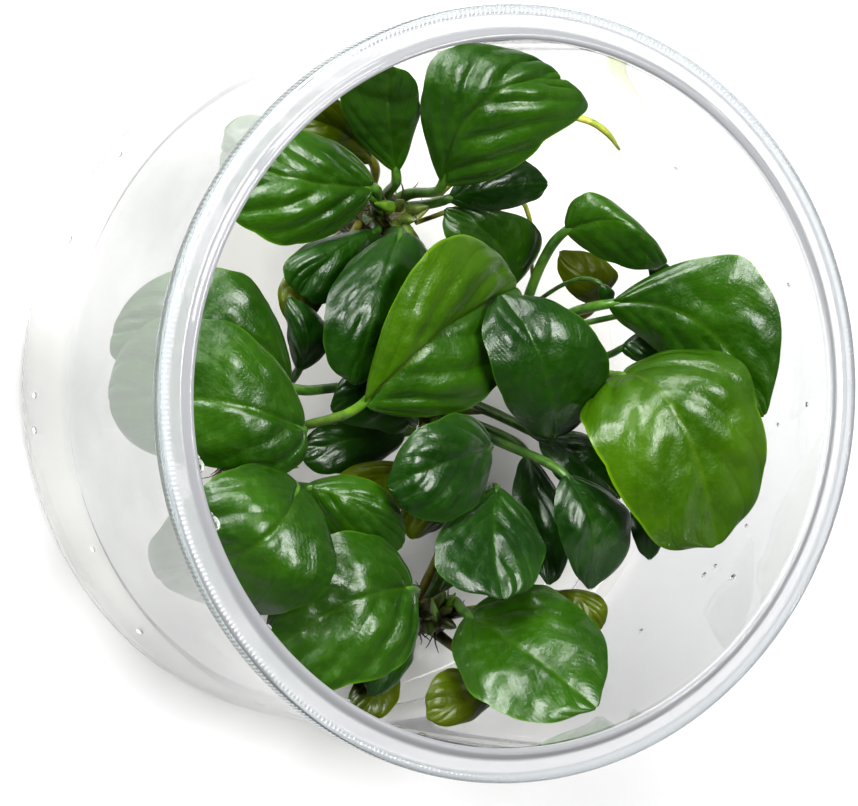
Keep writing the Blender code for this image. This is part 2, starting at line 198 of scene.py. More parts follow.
# Petioles and keels: millimetres, and shares of the petiole's or the blade's length or of
# the petiole's radius
PETIOLE_RADIUS = 0.8
PETIOLE_STATIONS = [0.0, 0.12, 0.28, 0.46, 0.64, 0.82]
PETIOLE_TAPER = [1.25, 1.05, 0.9, 0.85, 0.85, 0.88, 0.8, 0.56, 0.42, 0.3, 0.12]
PETIOLE_RISE = 0.3
PETIOLE_BEND = 0.35
PETIOLE_BEND_LIMIT = 4.0
KEEL_STATIONS = [0.0, 0.07, 0.16, 0.35, 0.7]
KEEL_DEPTHS = [0.1, 0.4, 0.36, 0.3, 0.2]
FULL_KEEL = 9.0

# Rhizomes: middle across and up of the top, height of the top
CROWNS = {
    "upper": ((-13.5, 23.0), 32.5),
    "right": ((3.0, 6.0), 27.0),
    "middle": ((-7.5, -1.0), 27.0),
    "left": ((-31.5, -8.0), 27.0),
    "lower": ((-8.5, -28.5), 27.5),
}
CROWN_RADIUS = 2.6

# A rhizome's blunt top and its taper into the gel: millimetres, shares and an exponent
CROWN_CAP = 0.2
CROWN_TIP = 0.35
CROWN_TAPER = 3.6
CROWN_CURVE = 0.7
CROWN_SINK = 1.0
RHIZOME_SINK = 3.0
RHIZOME_END = 0.3
RHIZOME_RINGS = 26
RHIZOME_FOOT_RADII = (0.9, 2.4)

# Its knobbly skin: overall share, depths in millimetres, and rates per millimetre
KNOBBLY = 0.6
SCAR_DEPTH = 0.16
SCAR_RATE = 3.1
LUMP_DEPTH = 0.9
LUMP_RATE = 0.45
LUMP_SHIFT = 0.3
RIPPLE_DEPTH = 0.3
RIPPLE_RATE = 1.7

# Petiole feet on a rhizome, in levels down from its top: millimetres, shares and radians
FOOT_LEVELS = 3
FOOT_STEP = 2.7
FOOT_DEPTH = 2.8
FOOT_INSET = 0.75
FOOT_HEADING = (0.75, 0.65)
FOOT_SPREAD = math.radians(52.0)
SPREAD_ROUNDS = 60

# Roots in the gel: millimetres, with angles as shares of the step between two roots;
# a pair is from and to
ROOTS_PER_CROWN = 6
ROOT_POINTS = 8
ROOT_ANGLES = (-0.3, 0.3)
ROOT_START = 2.0
ROOT_OFFSET = 0.6
ROOT_REACH = (4.0, 8.5)
ROOT_DEPTH = (8.0, 13.5)
ROOT_SWAY = 0.5
ROOT_RADII = (0.42, 0.16)

# Dead fibres round each rhizome: millimetres, radians, and shares of a fibre's length or
# the rhizome's radius; a pair is from and to, and margins are above the gel and below the top
FIBRES_PER_CROWN = 40
FIBRE_POINTS = 5
FIBRE_ANGLES = (-0.1, 0.1)
FIBRE_MARGINS = (1.5, 0.5)
FIBRE_INSET = 0.85
FIBRE_LENGTH = (1.2, 3.4)
FIBRE_RISE = (-0.6, 1.2)
FIBRE_DROOP = 0.7
FIBRE_CURL = 0.5
FIBRE_RADII = (0.16, 0.05)

# Pointed sheaths at a rhizome's top: millimetres, radians and shares of a sheath's length;
# a pair is the first one's value and what each next one adds
SHEATHS_PER_CROWN = 6
SHEATH_TURN = 2.4
SHEATH_SINK = 1.6
SHEATH_LENGTH = 3.6
SHEATH_VARIES = 0.9
SHEATH_OFFSET = (0.5, 0.14)
SHEATH_LEAN = (0.25, 0.11)
SHEATH_SHAPE = ((0, 0.9), (0.3, 1.0), (0.6, 0.75), (0.85, 0.4), (1, 0.06))

# Beads of water, millimetres and shares of a bead's radius
LIP_BEADS = 59.2
BEAD_CLEARANCE = 0.03
BEAD_DEPTH = 0.7
BEAD_LENGTH = 1.2
BEAD_STEPS = 20
BEAD_RINGS = 12
WALL_SEARCH = 0.05

# Loose strands between the leaves: places as across, up and height, and their radii
ROOT_TIP = ([(-11.5, 22.5, 28), (-6, 28, 29), (1, 33.5, 32), (7.4, 35.6, 35),
             (10.4, 35.2, 36.5), (12.8, 33.8, 36.5), (14.7, 31.4, 35)],
            [0.45, 0.5, 0.5, 0.5, 0.52, 0.48, 0.2])
ROOT_BARE = ([(-11.5, 22, 27), (-4, 24.5, 26), (1.5, 25.3, 24), (3.1, 22.6, 22.5),
              (3.4, 17, 20), (3.5, 14, 17)],
             [0.35, 0.35, 0.35, 0.33, 0.3, 0.2])

# Young shoots: foot, tip, radius, and how each narrows along its length
SHOOTS = [
    ("shoot_1", (-15.5, 23.2, 31), (-18.3, 26.4, 37), 0.75),
    ("shoot_2", (-14.5, 24.0, 32), (-16.8, 24.5, 37), 0.8),
    ("shoot_3", (-9.0, -29.0, 27), (-9.5, -26.3, 32), 0.7),
    ("shoot_4", (-7.5, -28.0, 27), (-6.4, -25.6, 31.5), 0.6),
    ("shoot_5", (-31.0, -8.5, 26.5), (-29.5, -8.0, 31), 0.6),
    ("shoot_6", (2.5, 5.5, 26.5), (1.5, 7.0, 31), 0.6),
]
SHOOT_SHAPE = {0: 1.0, 0.4: 0.95, 0.8: 0.5}
SHOOT_TIP = 0.06

# Leaves: name, shade, roundness at the base, then base, middle, tip, left edge and right
# edge of the blade, each as across, up, height
# Leaves of the dark shade carry painted shade: they lie in the shade of other leaves
LEAVES = [
    ("leaf_upper_1", "deep", ROUND, (-17, 26.5, 38), (-26.5, 27.5, 41), (-35, 30.3, 37),
     (-29.5, 19.5, 38), (-28, 34.5, 39)),
    ("leaf_upper_2", "deep", WEDGE, (-14, 28.5, 39), (-15, 36, 44.5), (-15, 41.7, 49.5),
     (-21.3, 37, 43), (-11, 37, 45)),
    ("leaf_upper_3", "olive", WEDGE, (-17, 30, 30.5), (-21.5, 34, 34), (-27, 35.5, 34),
     (-22.5, 30.5, 33), (-22, 38, 35)),
    ("leaf_upper_4", "deep", WEDGE, (-8, 27, 42), (-3, 37.5, 50), (7.5, 40.5, 49),
     (-9.5, 42.5, 48), (4.5, 31.5, 47)),
    ("leaf_upper_5", "dark", WEDGE, (-7.3, 25, 35.5), (-1.5, 26.5, 38.5), (5, 27, 38),
     (-2, 30.5, 37.5), (-1, 23.5, 36)),
    ("leaf_upper_6", "dark", ROUND, (-16.5, 21, 33), (-21.5, 18.5, 37), (-26, 13.5, 36),
     (-20, 13.5, 35.5), (-26.5, 18.5, 36.5)),
    ("leaf_upper_7", "dark", ROUND, (-13.5, 20.5, 38), (-16.5, 12, 43), (-19, 2, 40),
     (-10, 12, 40), (-23, 11.5, 41)),
    ("leaf_upper_8", "olive", ROUND, (-23, 17, 31), (-26, 13.5, 33), (-27.5, 9, 33),
     (-24, 11, 33), (-28.5, 15.5, 32)),
    ("leaf_right_1", "dark", WEDGE, (4.5, -5.5, 31), (9.5, -8.5, 35.5), (14.5, -13, 36.5),
     (12.5, -6, 35.5), (7, -11, 35.5)),
    ("leaf_right_2", "deep", WEDGE, (8, 21, 40), (15, 22, 45), (20.5, 17.5, 43),
     (11, 26, 43), (13.5, 17, 41)),
    ("leaf_right_3", "olive", WEDGE, (11.5, 11.5, 27.5), (10.5, 14.5, 30), (7.5, 18, 30),
     (8, 13.5, 29), (14, 16, 29.5)),
    ("leaf_right_4", "dark", WEDGE, (12.5, 14, 38.5), (13, 13, 38.5), (13, 11.5, 37.5),
     (14, 13, 38), (12, 13, 38)),
    ("leaf_right_5", "deep", ROUND, (20, 13, 38), (20, 15, 39), (19, 17, 39.5),
     (18.5, 15.5, 38.5), (21.5, 15.5, 38.5)),
    ("leaf_right_6", "deep", WEDGE, (13.5, 11.5, 41), (25, 9, 46.5), (33, -2, 47),
     (30.5, 17.5, 49.5), (20.5, 5, 41.5)),
    ("leaf_right_7", "dark", WEDGE, (15, 6, 36), (18, 6.5, 38), (22.5, 4, 38),
     (19.5, 8.5, 38), (17.5, 4, 37)),
    ("leaf_right_8", "bright", ROUND, (15, 2.6, 42.5), (22, -2.5, 51), (27, -18, 47),
     (31, 3, 51.5), (12.5, -9, 48)),
    ("leaf_middle_1", "dark", ROUND, (-12.5, -3, 33.5), (-17.5, 0, 36), (-22, -1.5, 34.5),
     (-17.5, -4.5, 34), (-18, 3, 35.5)),
    ("leaf_middle_2", "dark", ROUND, (-13, -5, 26.5), (-20, -6, 28.5), (-26, -7.5, 28),
     (-20, -10, 28), (-20, -2.5, 28)),
    ("leaf_middle_3", "dark", ROUND, (-2, -7, 40), (-8, -9, 45), (-14.5, -11.5, 43),
     (-7, -16, 43), (-8.5, -3, 44)),
    ("leaf_middle_4", "dark", WEDGE, (3, -8, 28), (4.5, -15, 32.5), (5.5, -24, 33.5),
     (8, -16, 33), (1, -13.5, 31.5)),
    ("leaf_middle_5", "dark", WEDGE, (8, -10.5, 41), (11, -16.5, 43), (11, -24.5, 40),
     (16, -15.5, 41), (6.5, -16, 42)),
    ("leaf_middle_6", "dark", ROUND, (6.5, -5.5, 38), (5, 3.5, 46), (0, 12, 44),
     (-1.5, 2.5, 45), (12.5, 6, 45.5)),
    ("leaf_middle_7", "olive", ROUND, (-12.5, -9.5, 30), (-17.5, -11.8, 33), (-20.5, -15.5, 32),
     (-14, -15, 32), (-21, -10, 32)),
    ("leaf_middle_8", "deep", WEDGE, (-27.5, 1, 34), (-35, 8, 39), (-49.5, 7.5, 30),
     (-37.5, 1, 35.5), (-34, 15.5, 38)),
    ("leaf_middle_9", "deep", WEDGE, (0.5, 13.5, 28.5), (-0.8, 19, 32.5), (-7, 23.5, 34),
     (-5, 16, 32), (4.3, 20.8, 31.5)),
    ("leaf_left_1", "bright", WEDGE, (-18, -1.5, 41.5), (-8.5, 7.5, 45.5), (1, 13.5, 39),
     (-10.5, 18, 48), (-2.5, -0.5, 41)),
    ("leaf_left_2", "dark", WEDGE, (-26.5, 3, 32), (-25.5, 7.5, 36), (-27.5, 12, 35),
     (-28, 7.5, 34), (-22.5, 7, 35)),
    ("leaf_left_3", "deep", ROUND, (-26, -4.5, 42), (-37.5, -1, 43), (-50, -1, 31),
     (-35, -10, 41), (-37.5, 9.5, 42)),
    ("leaf_left_4", "deep", ROUND, (-26.5, -12, 44), (-32, -19.5, 48), (-43.5, -23.5, 33),
     (-24, -26, 48), (-38.5, -12, 44)),
    ("leaf_left_5", "deep", ROUND, (-25.5, -12, 38), (-19.5, -14, 41), (-13.5, -19, 38),
     (-17, -11.5, 40), (-20.5, -19, 38)),
    ("leaf_lower_1", "deep", ROUND, (-12, -25, 40), (-20, -27, 43), (-30.5, -33.5, 37),
     (-17, -37, 42), (-22, -18, 41)),
    ("leaf_lower_2", "dark", WEDGE, (-12, -29.5, 34), (-14, -33.5, 38), (-17, -38.5, 37),
     (-12, -34.5, 37), (-17.5, -31.5, 37)),
    ("leaf_lower_3", "olive", WEDGE, (-14.5, -33.5, 30), (-16.5, -38, 33), (-19, -41.5, 33),
     (-14, -39.5, 33), (-19.5, -37, 33)),
    ("leaf_lower_4", "dark", WEDGE, (-1, -12, 38), (-1.5, -18.5, 43), (-0.5, -25.5, 46),
     (5, -20, 43), (-9.5, -20, 43)),
    ("leaf_lower_5", "deep", ROUND, (-4.5, -28.5, 36), (3, -33.5, 45), (11, -39.8, 49.5),
     (9, -26.5, 42), (-3, -39.5, 45)),
    ("leaf_lower_6", "olive", WEDGE, (-0.5, -38, 34), (-5, -39.5, 38), (-9.5, -41.5, 38),
     (-4.5, -42, 37), (-7.5, -35.5, 37)),
    ("leaf_lower_7", "olive", WEDGE, (6.5, -25.5, 33), (9.5, -26.5, 37), (12, -30, 37),
     (12, -26, 37), (8, -29.5, 36)),
    ("leaf_lower_8", "dark", WEDGE, (18, -11.5, 31), (18, -16, 35), (18.5, -21, 35),
     (20.5, -16, 34.5), (16, -16, 34.5)),
    ("leaf_lower_9", "olive", ROUND, (-6.5, -13.5, 34), (-10.5, -14.5, 37), (-13, -16, 36),
     (-10.5, -18.5, 36), (-11.5, -11, 36)),
]

# What sets a leaf apart: quilting, groove, margin wave, dents, pointed tip, base lobes and
# how far its right side lags behind its left, in millimetres, and how round its far half is
PLAIN = {"quilt": 0.34, "groove": 0.35, "wave": 0.30, "dent": 0.45, "point": 0.9,
         "lobe": 0.5, "skew": 0.0, "tip": 2.0}
FLAT = {"quilt": 0.06, "groove": 0.1, "wave": 0.1, "dent": 0.1, "point": 0.4, "lobe": 0.1}
QUIRKS = {
    "leaf_upper_4": {"quilt": 0.65, "wave": 0.45, "groove": 0.6, "point": -0.4, "tip": 2.6},
    "leaf_upper_7": {"quilt": 0.2, "dent": 0.6},
    "leaf_left_1": {"quilt": 0.5, "groove": 0.8},
    "leaf_left_4": {"quilt": 0.45, "groove": 0.6, "point": 0.3, "tip": 2.1},
    "leaf_right_8": {"quilt": 0.5, "wave": 0.4, "point": 1.7, "lobe": 1.1, "skew": -0.9,
                     "tip": 2.7},
    "leaf_upper_1": {"quilt": 0.55, "groove": 0.6, "tip": 2.4},
    "leaf_middle_8": {"point": 0.1, "tip": 2.3},
    "leaf_left_3": {"quilt": 0.45, "groove": 0.5, "point": 0.1, "tip": 2.3},
    "leaf_right_6": {"quilt": 0.45, "wave": 0.5},
    "leaf_lower_5": {"quilt": 0.3, "dent": 0.6},
    "leaf_lower_1": {"quilt": 0.5, "dent": 0.6},
    "leaf_middle_6": {"quilt": 0.15, "dent": 0.5},
    "leaf_right_4": FLAT,
    "leaf_right_5": FLAT,
}

# Leaves whose right half is of another shade: the left half folds up and keeps a paler green,
# painted as the light that falls on and through it
LIT_FOLD_LEAVES = {"leaf_left_1": "deep"}

# Beads of water: across, up, radius, and whether inside or outside the wall or on the lip
BEADS = [
    (34.7, 4.6, 0.55, "inside"), (33.3, -2.0, 0.4, "inside"), (38.8, -1.4, 0.35, "inside"),
    (35.1, -4.0, 0.3, "inside"), (25.6, -23.3, 0.4, "inside"), (27.0, -22.2, 0.35, "inside"),
    (29.3, -23.6, 0.45, "inside"), (31.0, -17.0, 0.3, "inside"), (36.5, 14.0, 0.3, "inside"),
    (22.0, 29.0, 0.3, "inside"), (17.5, -30.5, 0.35, "inside"), (33.5, 9.5, 0.3, "inside"),
    (-56.0, 19.8, 0.5, "outside"), (-60.5, -0.2, 0.45, "outside"),
    (-60.5, -4.7, 0.5, "outside"), (-49.6, 30.7, 0.4, "outside"),
    (-53.0, -20.0, 0.4, "outside"), (-47.0, -30.5, 0.5, "outside"),
    (-38.6, -9.2, 0.95, "lip"), (-37.6, -16.9, 1.1, "lip"), (-41.9, -8.8, 0.45, "lip"),
    (-39.9, -16.6, 0.5, "lip"), (-14.2, -45.0, 0.5, "lip"), (-11.0, -46.5, 0.6, "lip"),
    (-20.0, -40.0, 0.4, "lip"), (-30.0, -30.0, 0.45, "lip"),
]

# Leaf shades: darkest, middle and palest green, glow through the blade, its share
SHADES = {
    "deep": ((0.012, 0.052, 0.001), (0.025, 0.088, 0.001), (0.058, 0.140, 0.003),
             (0.22, 0.42, 0.003), 0.15),
    # Painted shade: a darker copy of the green, for leaves that lie in the shade of others
    "dark": ((0.004, 0.027, 0.001), (0.011, 0.052, 0.001), (0.030, 0.092, 0.002),
             (0.12, 0.30, 0.003), 0.11),
    # Pale green, with painted light on the half of leaf_left_1 that folds up
    "bright": ((0.028, 0.088, 0.001), (0.054, 0.134, 0.001), (0.100, 0.190, 0.003),
               (0.34, 0.52, 0.003), 0.22),
    # Paler olive of young leaves, with painted glow for light that shines through them from
    # behind
    "olive": ((0.060, 0.100, 0.001), (0.110, 0.155, 0.001), (0.180, 0.225, 0.005),
              (0.50, 0.50, 0.004), 0.45),
}

# Blade finish: mottling as cells per metre and detail, and each marking's share
BROAD_MOTTLE = (80.0, 1.0)
FINE_MOTTLE = (900.0, 2.0)
FINE_SHARE = 0.15
VEIN_SHARE = 0.2
RIB_SHARE = 0.25
# The margin's paler green is painted glow: light through the blade's thin edge
MARGIN_GLOW_SHARE = 0.6
MARGIN_GLOW_PALER = 1.8
BACKLIT_VEINS = 0.4

# Where a side vein, the midrib and the margin lie: shares of a vein's step or half width
VEIN_BAND = (0.40, 0.5)
RIB_BAND = (0.015, 0.07)
MARGIN_BAND = (0.955, 0.995)

# Fine streaks along the side veins: streaks to a vein, their drift and its speckle, relief
STREAKS = 6
STREAK_DRIFT = 9.0
STREAK_SPECKLE = (260.0, 1.0)
STREAK_DEPTH = 0.006
STREAK_STRENGTH = 0.6

# Roughness from and to, then coat weight and coat roughness
BLADE_ROUGHNESS = (0.28, 0.40)
BLADE_COAT = (0.28, 0.24)
STALK_ROUGHNESS = (0.28, 0.45)
STALK_COAT = (0.2, 0.15)

# Relief by speckle: cells per metre, detail, depth in millimetres, strength
BLADE_GRAIN = (2300.0, 1.0, 0.09, 0.6)
BLADE_DIMPLES = (500.0, 1.0, 0.16, 0.35)
STALK_GRAIN = (1500.0, 2.0, 0.05, 0.6)
CUP_WAVES = (26.0, 1.0, 0.6, 0.08)
GEL_WAVES = (120.0, 1.0, 0.4, 0.35)

# Stalks, roots, sheaths and fibres: dark and pale colour, and their mottling as cells per
# metre, detail, roughness and distortion
STALKS = {
    "deep": ((0.02, 0.08, 0.008), (0.09, 0.2, 0.02)),
    # Painted shade: darker stalks for the leaves of the dark shade
    "dark": ((0.015, 0.05, 0.006), (0.06, 0.14, 0.015)),
    "bright": ((0.05, 0.15, 0.01), (0.16, 0.3, 0.02)),
    "olive": ((0.12, 0.13, 0.01), (0.26, 0.24, 0.03)),
}
ROOT_WHITE = ((0.42, 0.36, 0.22), (0.66, 0.62, 0.46))
ROOT_YELLOW = ((0.2, 0.27, 0.02), (0.5, 0.52, 0.1))
SHEATH_GREEN = ((0.035, 0.03, 0.008), (0.09, 0.15, 0.02))
FIBRE_BROWN = ((0.02, 0.012, 0.005), (0.11, 0.07, 0.025))
STALK_MOTTLE = (420.0, 4.0, 0.6, 0.6)

# Rhizome skin: colours, grain, and rings as a wave, with their depths in millimetres
RHIZOME_DARK = (0.018, 0.014, 0.004)
RHIZOME_FLESH = (0.16, 0.17, 0.03)
RHIZOME_RING = (0.02, 0.012, 0.005)
RHIZOME_GRAIN = (1100.0, 5.0, 0.65)
RHIZOME_GRAIN_DEPTH = 0.2
RHIZOME_ROUGHNESS = (0.4, 0.7)
RING_WAVE = {"Scale": 190.0, "Distortion": 5.0, "Detail": 3.0, "Detail_Scale": 2.0}
RING_DEPTH = 0.35
RING_SHARE = 0.8

# Cup tints, from the base up: each with the heights, in millimetres, over which it comes in.
# The wall's grey tints are painted shade, greying the clear wall most above the gel
BASE_TINT = (0.985, 0.985, 0.985)
WALL_PAINTED_SHADE = [((2.0, 6.0), (0.93, 0.93, 0.932)), ((16.0, 23.0), (0.80, 0.802, 0.81))]
# Painted refraction: the skirt's dark teal stands for the dark stripe that the rim shows
SKIRT_PAINTED_REFRACTION = (0.34, 0.40, 0.41)
SKIRT_REACH = (48.5, 49.5)
SKIRT_RISE = (56.5, 57.2)
CUP_ROUGHNESS = 0.02
RIB_DEPTH = 0.04
RIB_STRENGTH = 0.6

# Fog on the wall, denser towards the front: bands in millimetres, and shares
FOG_WHITE = (0.55, 0.62, 0.61)
FOG_PATCHES = (60.0, 2.0, 0.6)
FOG_SHARES = (0.03, 0.09)
FOG_TOP = (52.0, 57.5)
FOG_FOOT = (16.0, 22.0)
FOG_BEHIND_GEL = 0.25
FOG_DEPTH = (-45.0, 10.0)
FOG_FAR_SIDE = 0.2

# Milky lip
LIP_WHITE = (0.84, 0.85, 0.88)
LIP_WHITE_RISE = (57.5, 59.0)
MILKY_RISE = (58.9, 59.5)
MILKY_SHARE = 0.5

# Gel and water, and the tint that clear pieces leave in light that passes them
GEL_TINT = (0.99, 0.987, 0.965)
GEL_ROUGHNESS = 0.06
WATER_TINT = (1.0, 1.0, 1.0)
CUP_SHADE = (0.99, 0.99, 0.99)
GEL_SHADE = (0.99, 0.99, 0.98)
WATER_SHADE = (0.98, 0.98, 0.98)

# Sockets of a colour mix: share, first, second, and its result
COLOUR_MIX_INPUTS = (0, 6, 7)
COLOUR_MIX_OUTPUT = 2


def view_axes():
    """Return the right, up and towards-viewer directions of the view."""
    towards = Vector((0, -math.sin(VIEW_TILT), math.cos(VIEW_TILT)))
    plain_up = Vector((0, math.cos(VIEW_TILT), math.sin(VIEW_TILT)))
    plain_right = Vector((1, 0, 0))
    right = math.cos(VIEW_TURN) * plain_up - math.sin(VIEW_TURN) * plain_right
    up = -math.sin(VIEW_TURN) * plain_up - math.cos(VIEW_TURN) * plain_right
    return right, up, towards


def eye_point():
    """Return where the viewer's eye is and the point it aims at, in millimetres."""
    right, upward, towards = view_axes()
    aim = Vector((0, 0, VIEW_CENTRE)) + AIM_ACROSS * right + AIM_UP * upward
    return aim + VIEW_DISTANCE * towards, aim


def view_ray(across, up):
    """Return the eye and the ray through this place in the view."""
    right, upward, towards = view_axes()
    eye, _ = eye_point()
    ray = (across - AIM_ACROSS) * right + (up - AIM_UP) * upward - VIEW_DISTANCE * towards
    return eye, ray


def seen_at(across, up, height):
    """Return the point at this height that shows at this place in the view."""
    eye, ray = view_ray(across, up)
    return eye + ray * ((height - eye.z) / ray.z)


def wall_radius(height):
    """Return the inner radius of the cup's wall at this height."""
    share = (height - BASE_CORNER) / (SKIRT_FOOT - BASE_CORNER)
    return WALL_BASE_RADIUS + (WALL_TOP_RADIUS - WALL_BASE_RADIUS) * share - WALL


# Shader helpers

def new_material(name):
    """Return a new material, its node tree and its output."""
    material = bpy.data.materials.new(name)
    material.use_nodes = True
    tree = material.node_tree
    tree.nodes.clear()
    return material, tree, tree.nodes.new("ShaderNodeOutputMaterial")


def feed(tree, socket, value):
    """Link a socket from another one, or give it a number, or a colour of three numbers."""
    if isinstance(value, bpy.types.NodeSocket):
        tree.links.new(value, socket)
    elif isinstance(value, tuple):
        socket.default_value = (*value, 1.0)
    else:
        socket.default_value = value


def add_node(tree, kind, settings=None, **sockets):
    """Add a node with settings and feed its named sockets, where _ stands for a space."""
    made = tree.nodes.new(kind)
    for key, value in (settings or {}).items():
        setattr(made, key, value)
    for key, value in sockets.items():
        feed(tree, made.inputs[key.replace("_", " ")], value)
    return made


def math_node(tree, operation, *values):
    """Return the result of a math node."""
    made = add_node(tree, "ShaderNodeMath", {"operation": operation})
    for socket, value in zip(made.inputs, values):
        feed(tree, socket, value)
    return made.outputs[0]


def between(tree, value, low, high, start=0.0, end=1.0):
    """Return value mapped smoothly from low..high to start..end."""
    made = add_node(tree, "ShaderNodeMapRange", {"interpolation_type": "SMOOTHSTEP"},
                    Value=value, From_Min=low, From_Max=high, To_Min=start, To_Max=end)
    return made.outputs[0]


def over_band(tree, value, band, start=0.0, end=1.0):
    """Return value mapped smoothly from a band in millimetres to start..end."""
    low, high = band
    return between(tree, value, low * MM, high * MM, start, end)


def mix_colours(tree, share, first, second):
    """Return a mix of two colours."""
    made = add_node(tree, "ShaderNodeMix", {"data_type": "RGBA"})
    for number, value in zip(COLOUR_MIX_INPUTS, (share, first, second)):
        feed(tree, made.inputs[number], value)
    return made.outputs[COLOUR_MIX_OUTPUT]


def mix_shaders(tree, share, first, second):
    """Return a mix of two shaders."""
    made = tree.nodes.new("ShaderNodeMixShader")
    for socket, value in zip(made.inputs, (share, first, second)):
        feed(tree, socket, value)
    return made.outputs[0]


def object_place(tree):
    """Return the place in the object's own space."""
    return tree.nodes.new("ShaderNodeTexCoord").outputs["Object"]


def speckle(tree, scale, detail, roughness=0.55, distortion=0.0):
    """Return noise in the object's own space, scale in cells per metre."""
    made = add_node(tree, "ShaderNodeTexNoise", Vector=object_place(tree), Scale=scale,
                    Detail=detail, Roughness=roughness, Distortion=distortion)
    return made.outputs[0]


def bumped(tree, height, depth, strength, normal=None):
    """Return a normal bumped by a height field of this depth in millimetres."""
    made = add_node(tree, "ShaderNodeBump", Height=height, Distance=depth * MM,
                    Strength=strength)
    if normal is not None:
        feed(tree, made.inputs["Normal"], normal)
    return made.outputs[0]


def roughened(tree, layer, normal=None):
    """Return a normal bumped by a layer of speckle."""
    cells, detail, depth, strength = layer
    return bumped(tree, speckle(tree, cells, detail), depth, strength, normal)


def waxed(surface, coat):
    """Give living skin its refraction and a thin waxy coat."""
    surface.inputs["IOR"].default_value = SKIN_INDEX
    surface.inputs["Coat Weight"].default_value = coat[0]
    surface.inputs["Coat Roughness"].default_value = coat[1]
    return surface.outputs[0]


def clear_surface(tree, index, roughness, **sockets):
    """Return a clear shader of this refraction and roughness."""
    surface = add_node(tree, "ShaderNodeBsdfPrincipled", Roughness=roughness, **sockets)
    surface.inputs["Transmission Weight"].default_value = 1.0
    surface.inputs["IOR"].default_value = index
    return surface.outputs[0]


def let_light_in(tree, surface, out, shade):
    """Show the surface to the eye, and let light rays pass it with a faint shade."""
    light = tree.nodes.new("ShaderNodeLightPath").outputs["Is Shadow Ray"]
    clear = add_node(tree, "ShaderNodeBsdfTransparent", Color=shade).outputs[0]
    tree.links.new(mix_shaders(tree, light, surface, clear), out.inputs["Surface"])


# Materials

def vein_masks(tree):
    """Return the side-vein line, midrib line, distance from the midrib and streaks."""
    uv = tree.nodes.new("ShaderNodeTexCoord").outputs["UV"]
    right, up = add_node(tree, "ShaderNodeSeparateXYZ", Vector=uv).outputs[:2]
    across = math_node(tree, "MULTIPLY_ADD", right, 2.0, -1.0)
    away = math_node(tree, "ABSOLUTE", across)
    sweep = math_node(tree, "MULTIPLY", math_node(tree, "POWER", away, VEIN_POWER), VEIN_SWEEP)
    along = math_node(tree, "SUBTRACT", up, sweep)
    side = math_node(tree, "MULTIPLY", math_node(tree, "GREATER_THAN", across, 0.0),
                     VEIN_STAGGER)
    count = math_node(tree, "MULTIPLY_ADD", along, VEINS, side)
    drift = math_node(tree, "MULTIPLY", speckle(tree, *STREAK_SPECKLE), STREAK_DRIFT)
    lines = math_node(tree, "MULTIPLY_ADD", count, STREAKS * math.tau, drift)
    streaks = math_node(tree, "SINE", lines)
    phase = math_node(tree, "FRACT", count)
    off_middle = math_node(tree, "ABSOLUTE", math_node(tree, "SUBTRACT", phase, 0.5))
    line = between(tree, off_middle, *VEIN_BAND)
    rib = between(tree, away, *RIB_BAND, 1.0, 0.0)
    return line, rib, away, streaks


def blade_green(tree, shade, fine, line, rib, away):
    """Return a blade's mottled green, darker on its veins and paler on its margin, where glow
    through the thin edge is painted.
    """
    low, middle, high = SHADES[shade][:3]
    broad = between(tree, speckle(tree, *BROAD_MOTTLE), 0.3, 0.7)
    glowing_margin = math_node(tree, "MULTIPLY", between(tree, away, *MARGIN_BAND), broad)
    margin_glow = tuple(MARGIN_GLOW_PALER * part for part in high)
    green = mix_colours(tree, broad, low, middle)
    for mask, strength, colour in ((fine, FINE_SHARE, high), (line, VEIN_SHARE, low),
                                   (rib, RIB_SHARE, high), (glowing_margin, MARGIN_GLOW_SHARE, margin_glow)):
        green = mix_colours(tree, math_node(tree, "MULTIPLY", mask, strength), green, colour)
    return green


def blade_material(name, shade):
    """Waxy blade: mottled green with darker side veins, a margin painted paler as glowing light,
    and some glow.
    """
    _, middle, _, glow, share = SHADES[shade]
    material, tree, out = new_material(name)
    line, rib, away, streaks = vein_masks(tree)
    fine = between(tree, speckle(tree, *FINE_MOTTLE), 0.35, 0.7)
    normal = roughened(tree, BLADE_DIMPLES, roughened(tree, BLADE_GRAIN))
    normal = bumped(tree, streaks, STREAK_DEPTH, STREAK_STRENGTH, normal)
    surface = add_node(tree, "ShaderNodeBsdfPrincipled",
                       Base_Color=blade_green(tree, shade, fine, line, rib, away),
                       Roughness=between(tree, fine, 0.0, 1.0, *BLADE_ROUGHNESS),
                       Normal=normal)
    backlit = mix_colours(tree, math_node(tree, "MULTIPLY", line, BACKLIT_VEINS), glow, middle)
    through = add_node(tree, "ShaderNodeBsdfTranslucent", Color=backlit, Normal=normal)
    mixed = mix_shaders(tree, share, waxed(surface, BLADE_COAT), through.outputs[0])
    tree.links.new(mixed, out.inputs["Surface"])
    return material


def stalk_material(name, dark, pale):
    """Smooth fleshy stalk, mottled between two tones."""
    material, tree, out = new_material(name)
    tone = between(tree, speckle(tree, *STALK_MOTTLE), 0.3, 0.7)
    surface = add_node(tree, "ShaderNodeBsdfPrincipled",
                       Base_Color=mix_colours(tree, tone, dark, pale),
                       Roughness=between(tree, tone, 0.0, 1.0, *STALK_ROUGHNESS),
                       Normal=roughened(tree, STALK_GRAIN))
    tree.links.new(waxed(surface, STALK_COAT), out.inputs["Surface"])
    return material


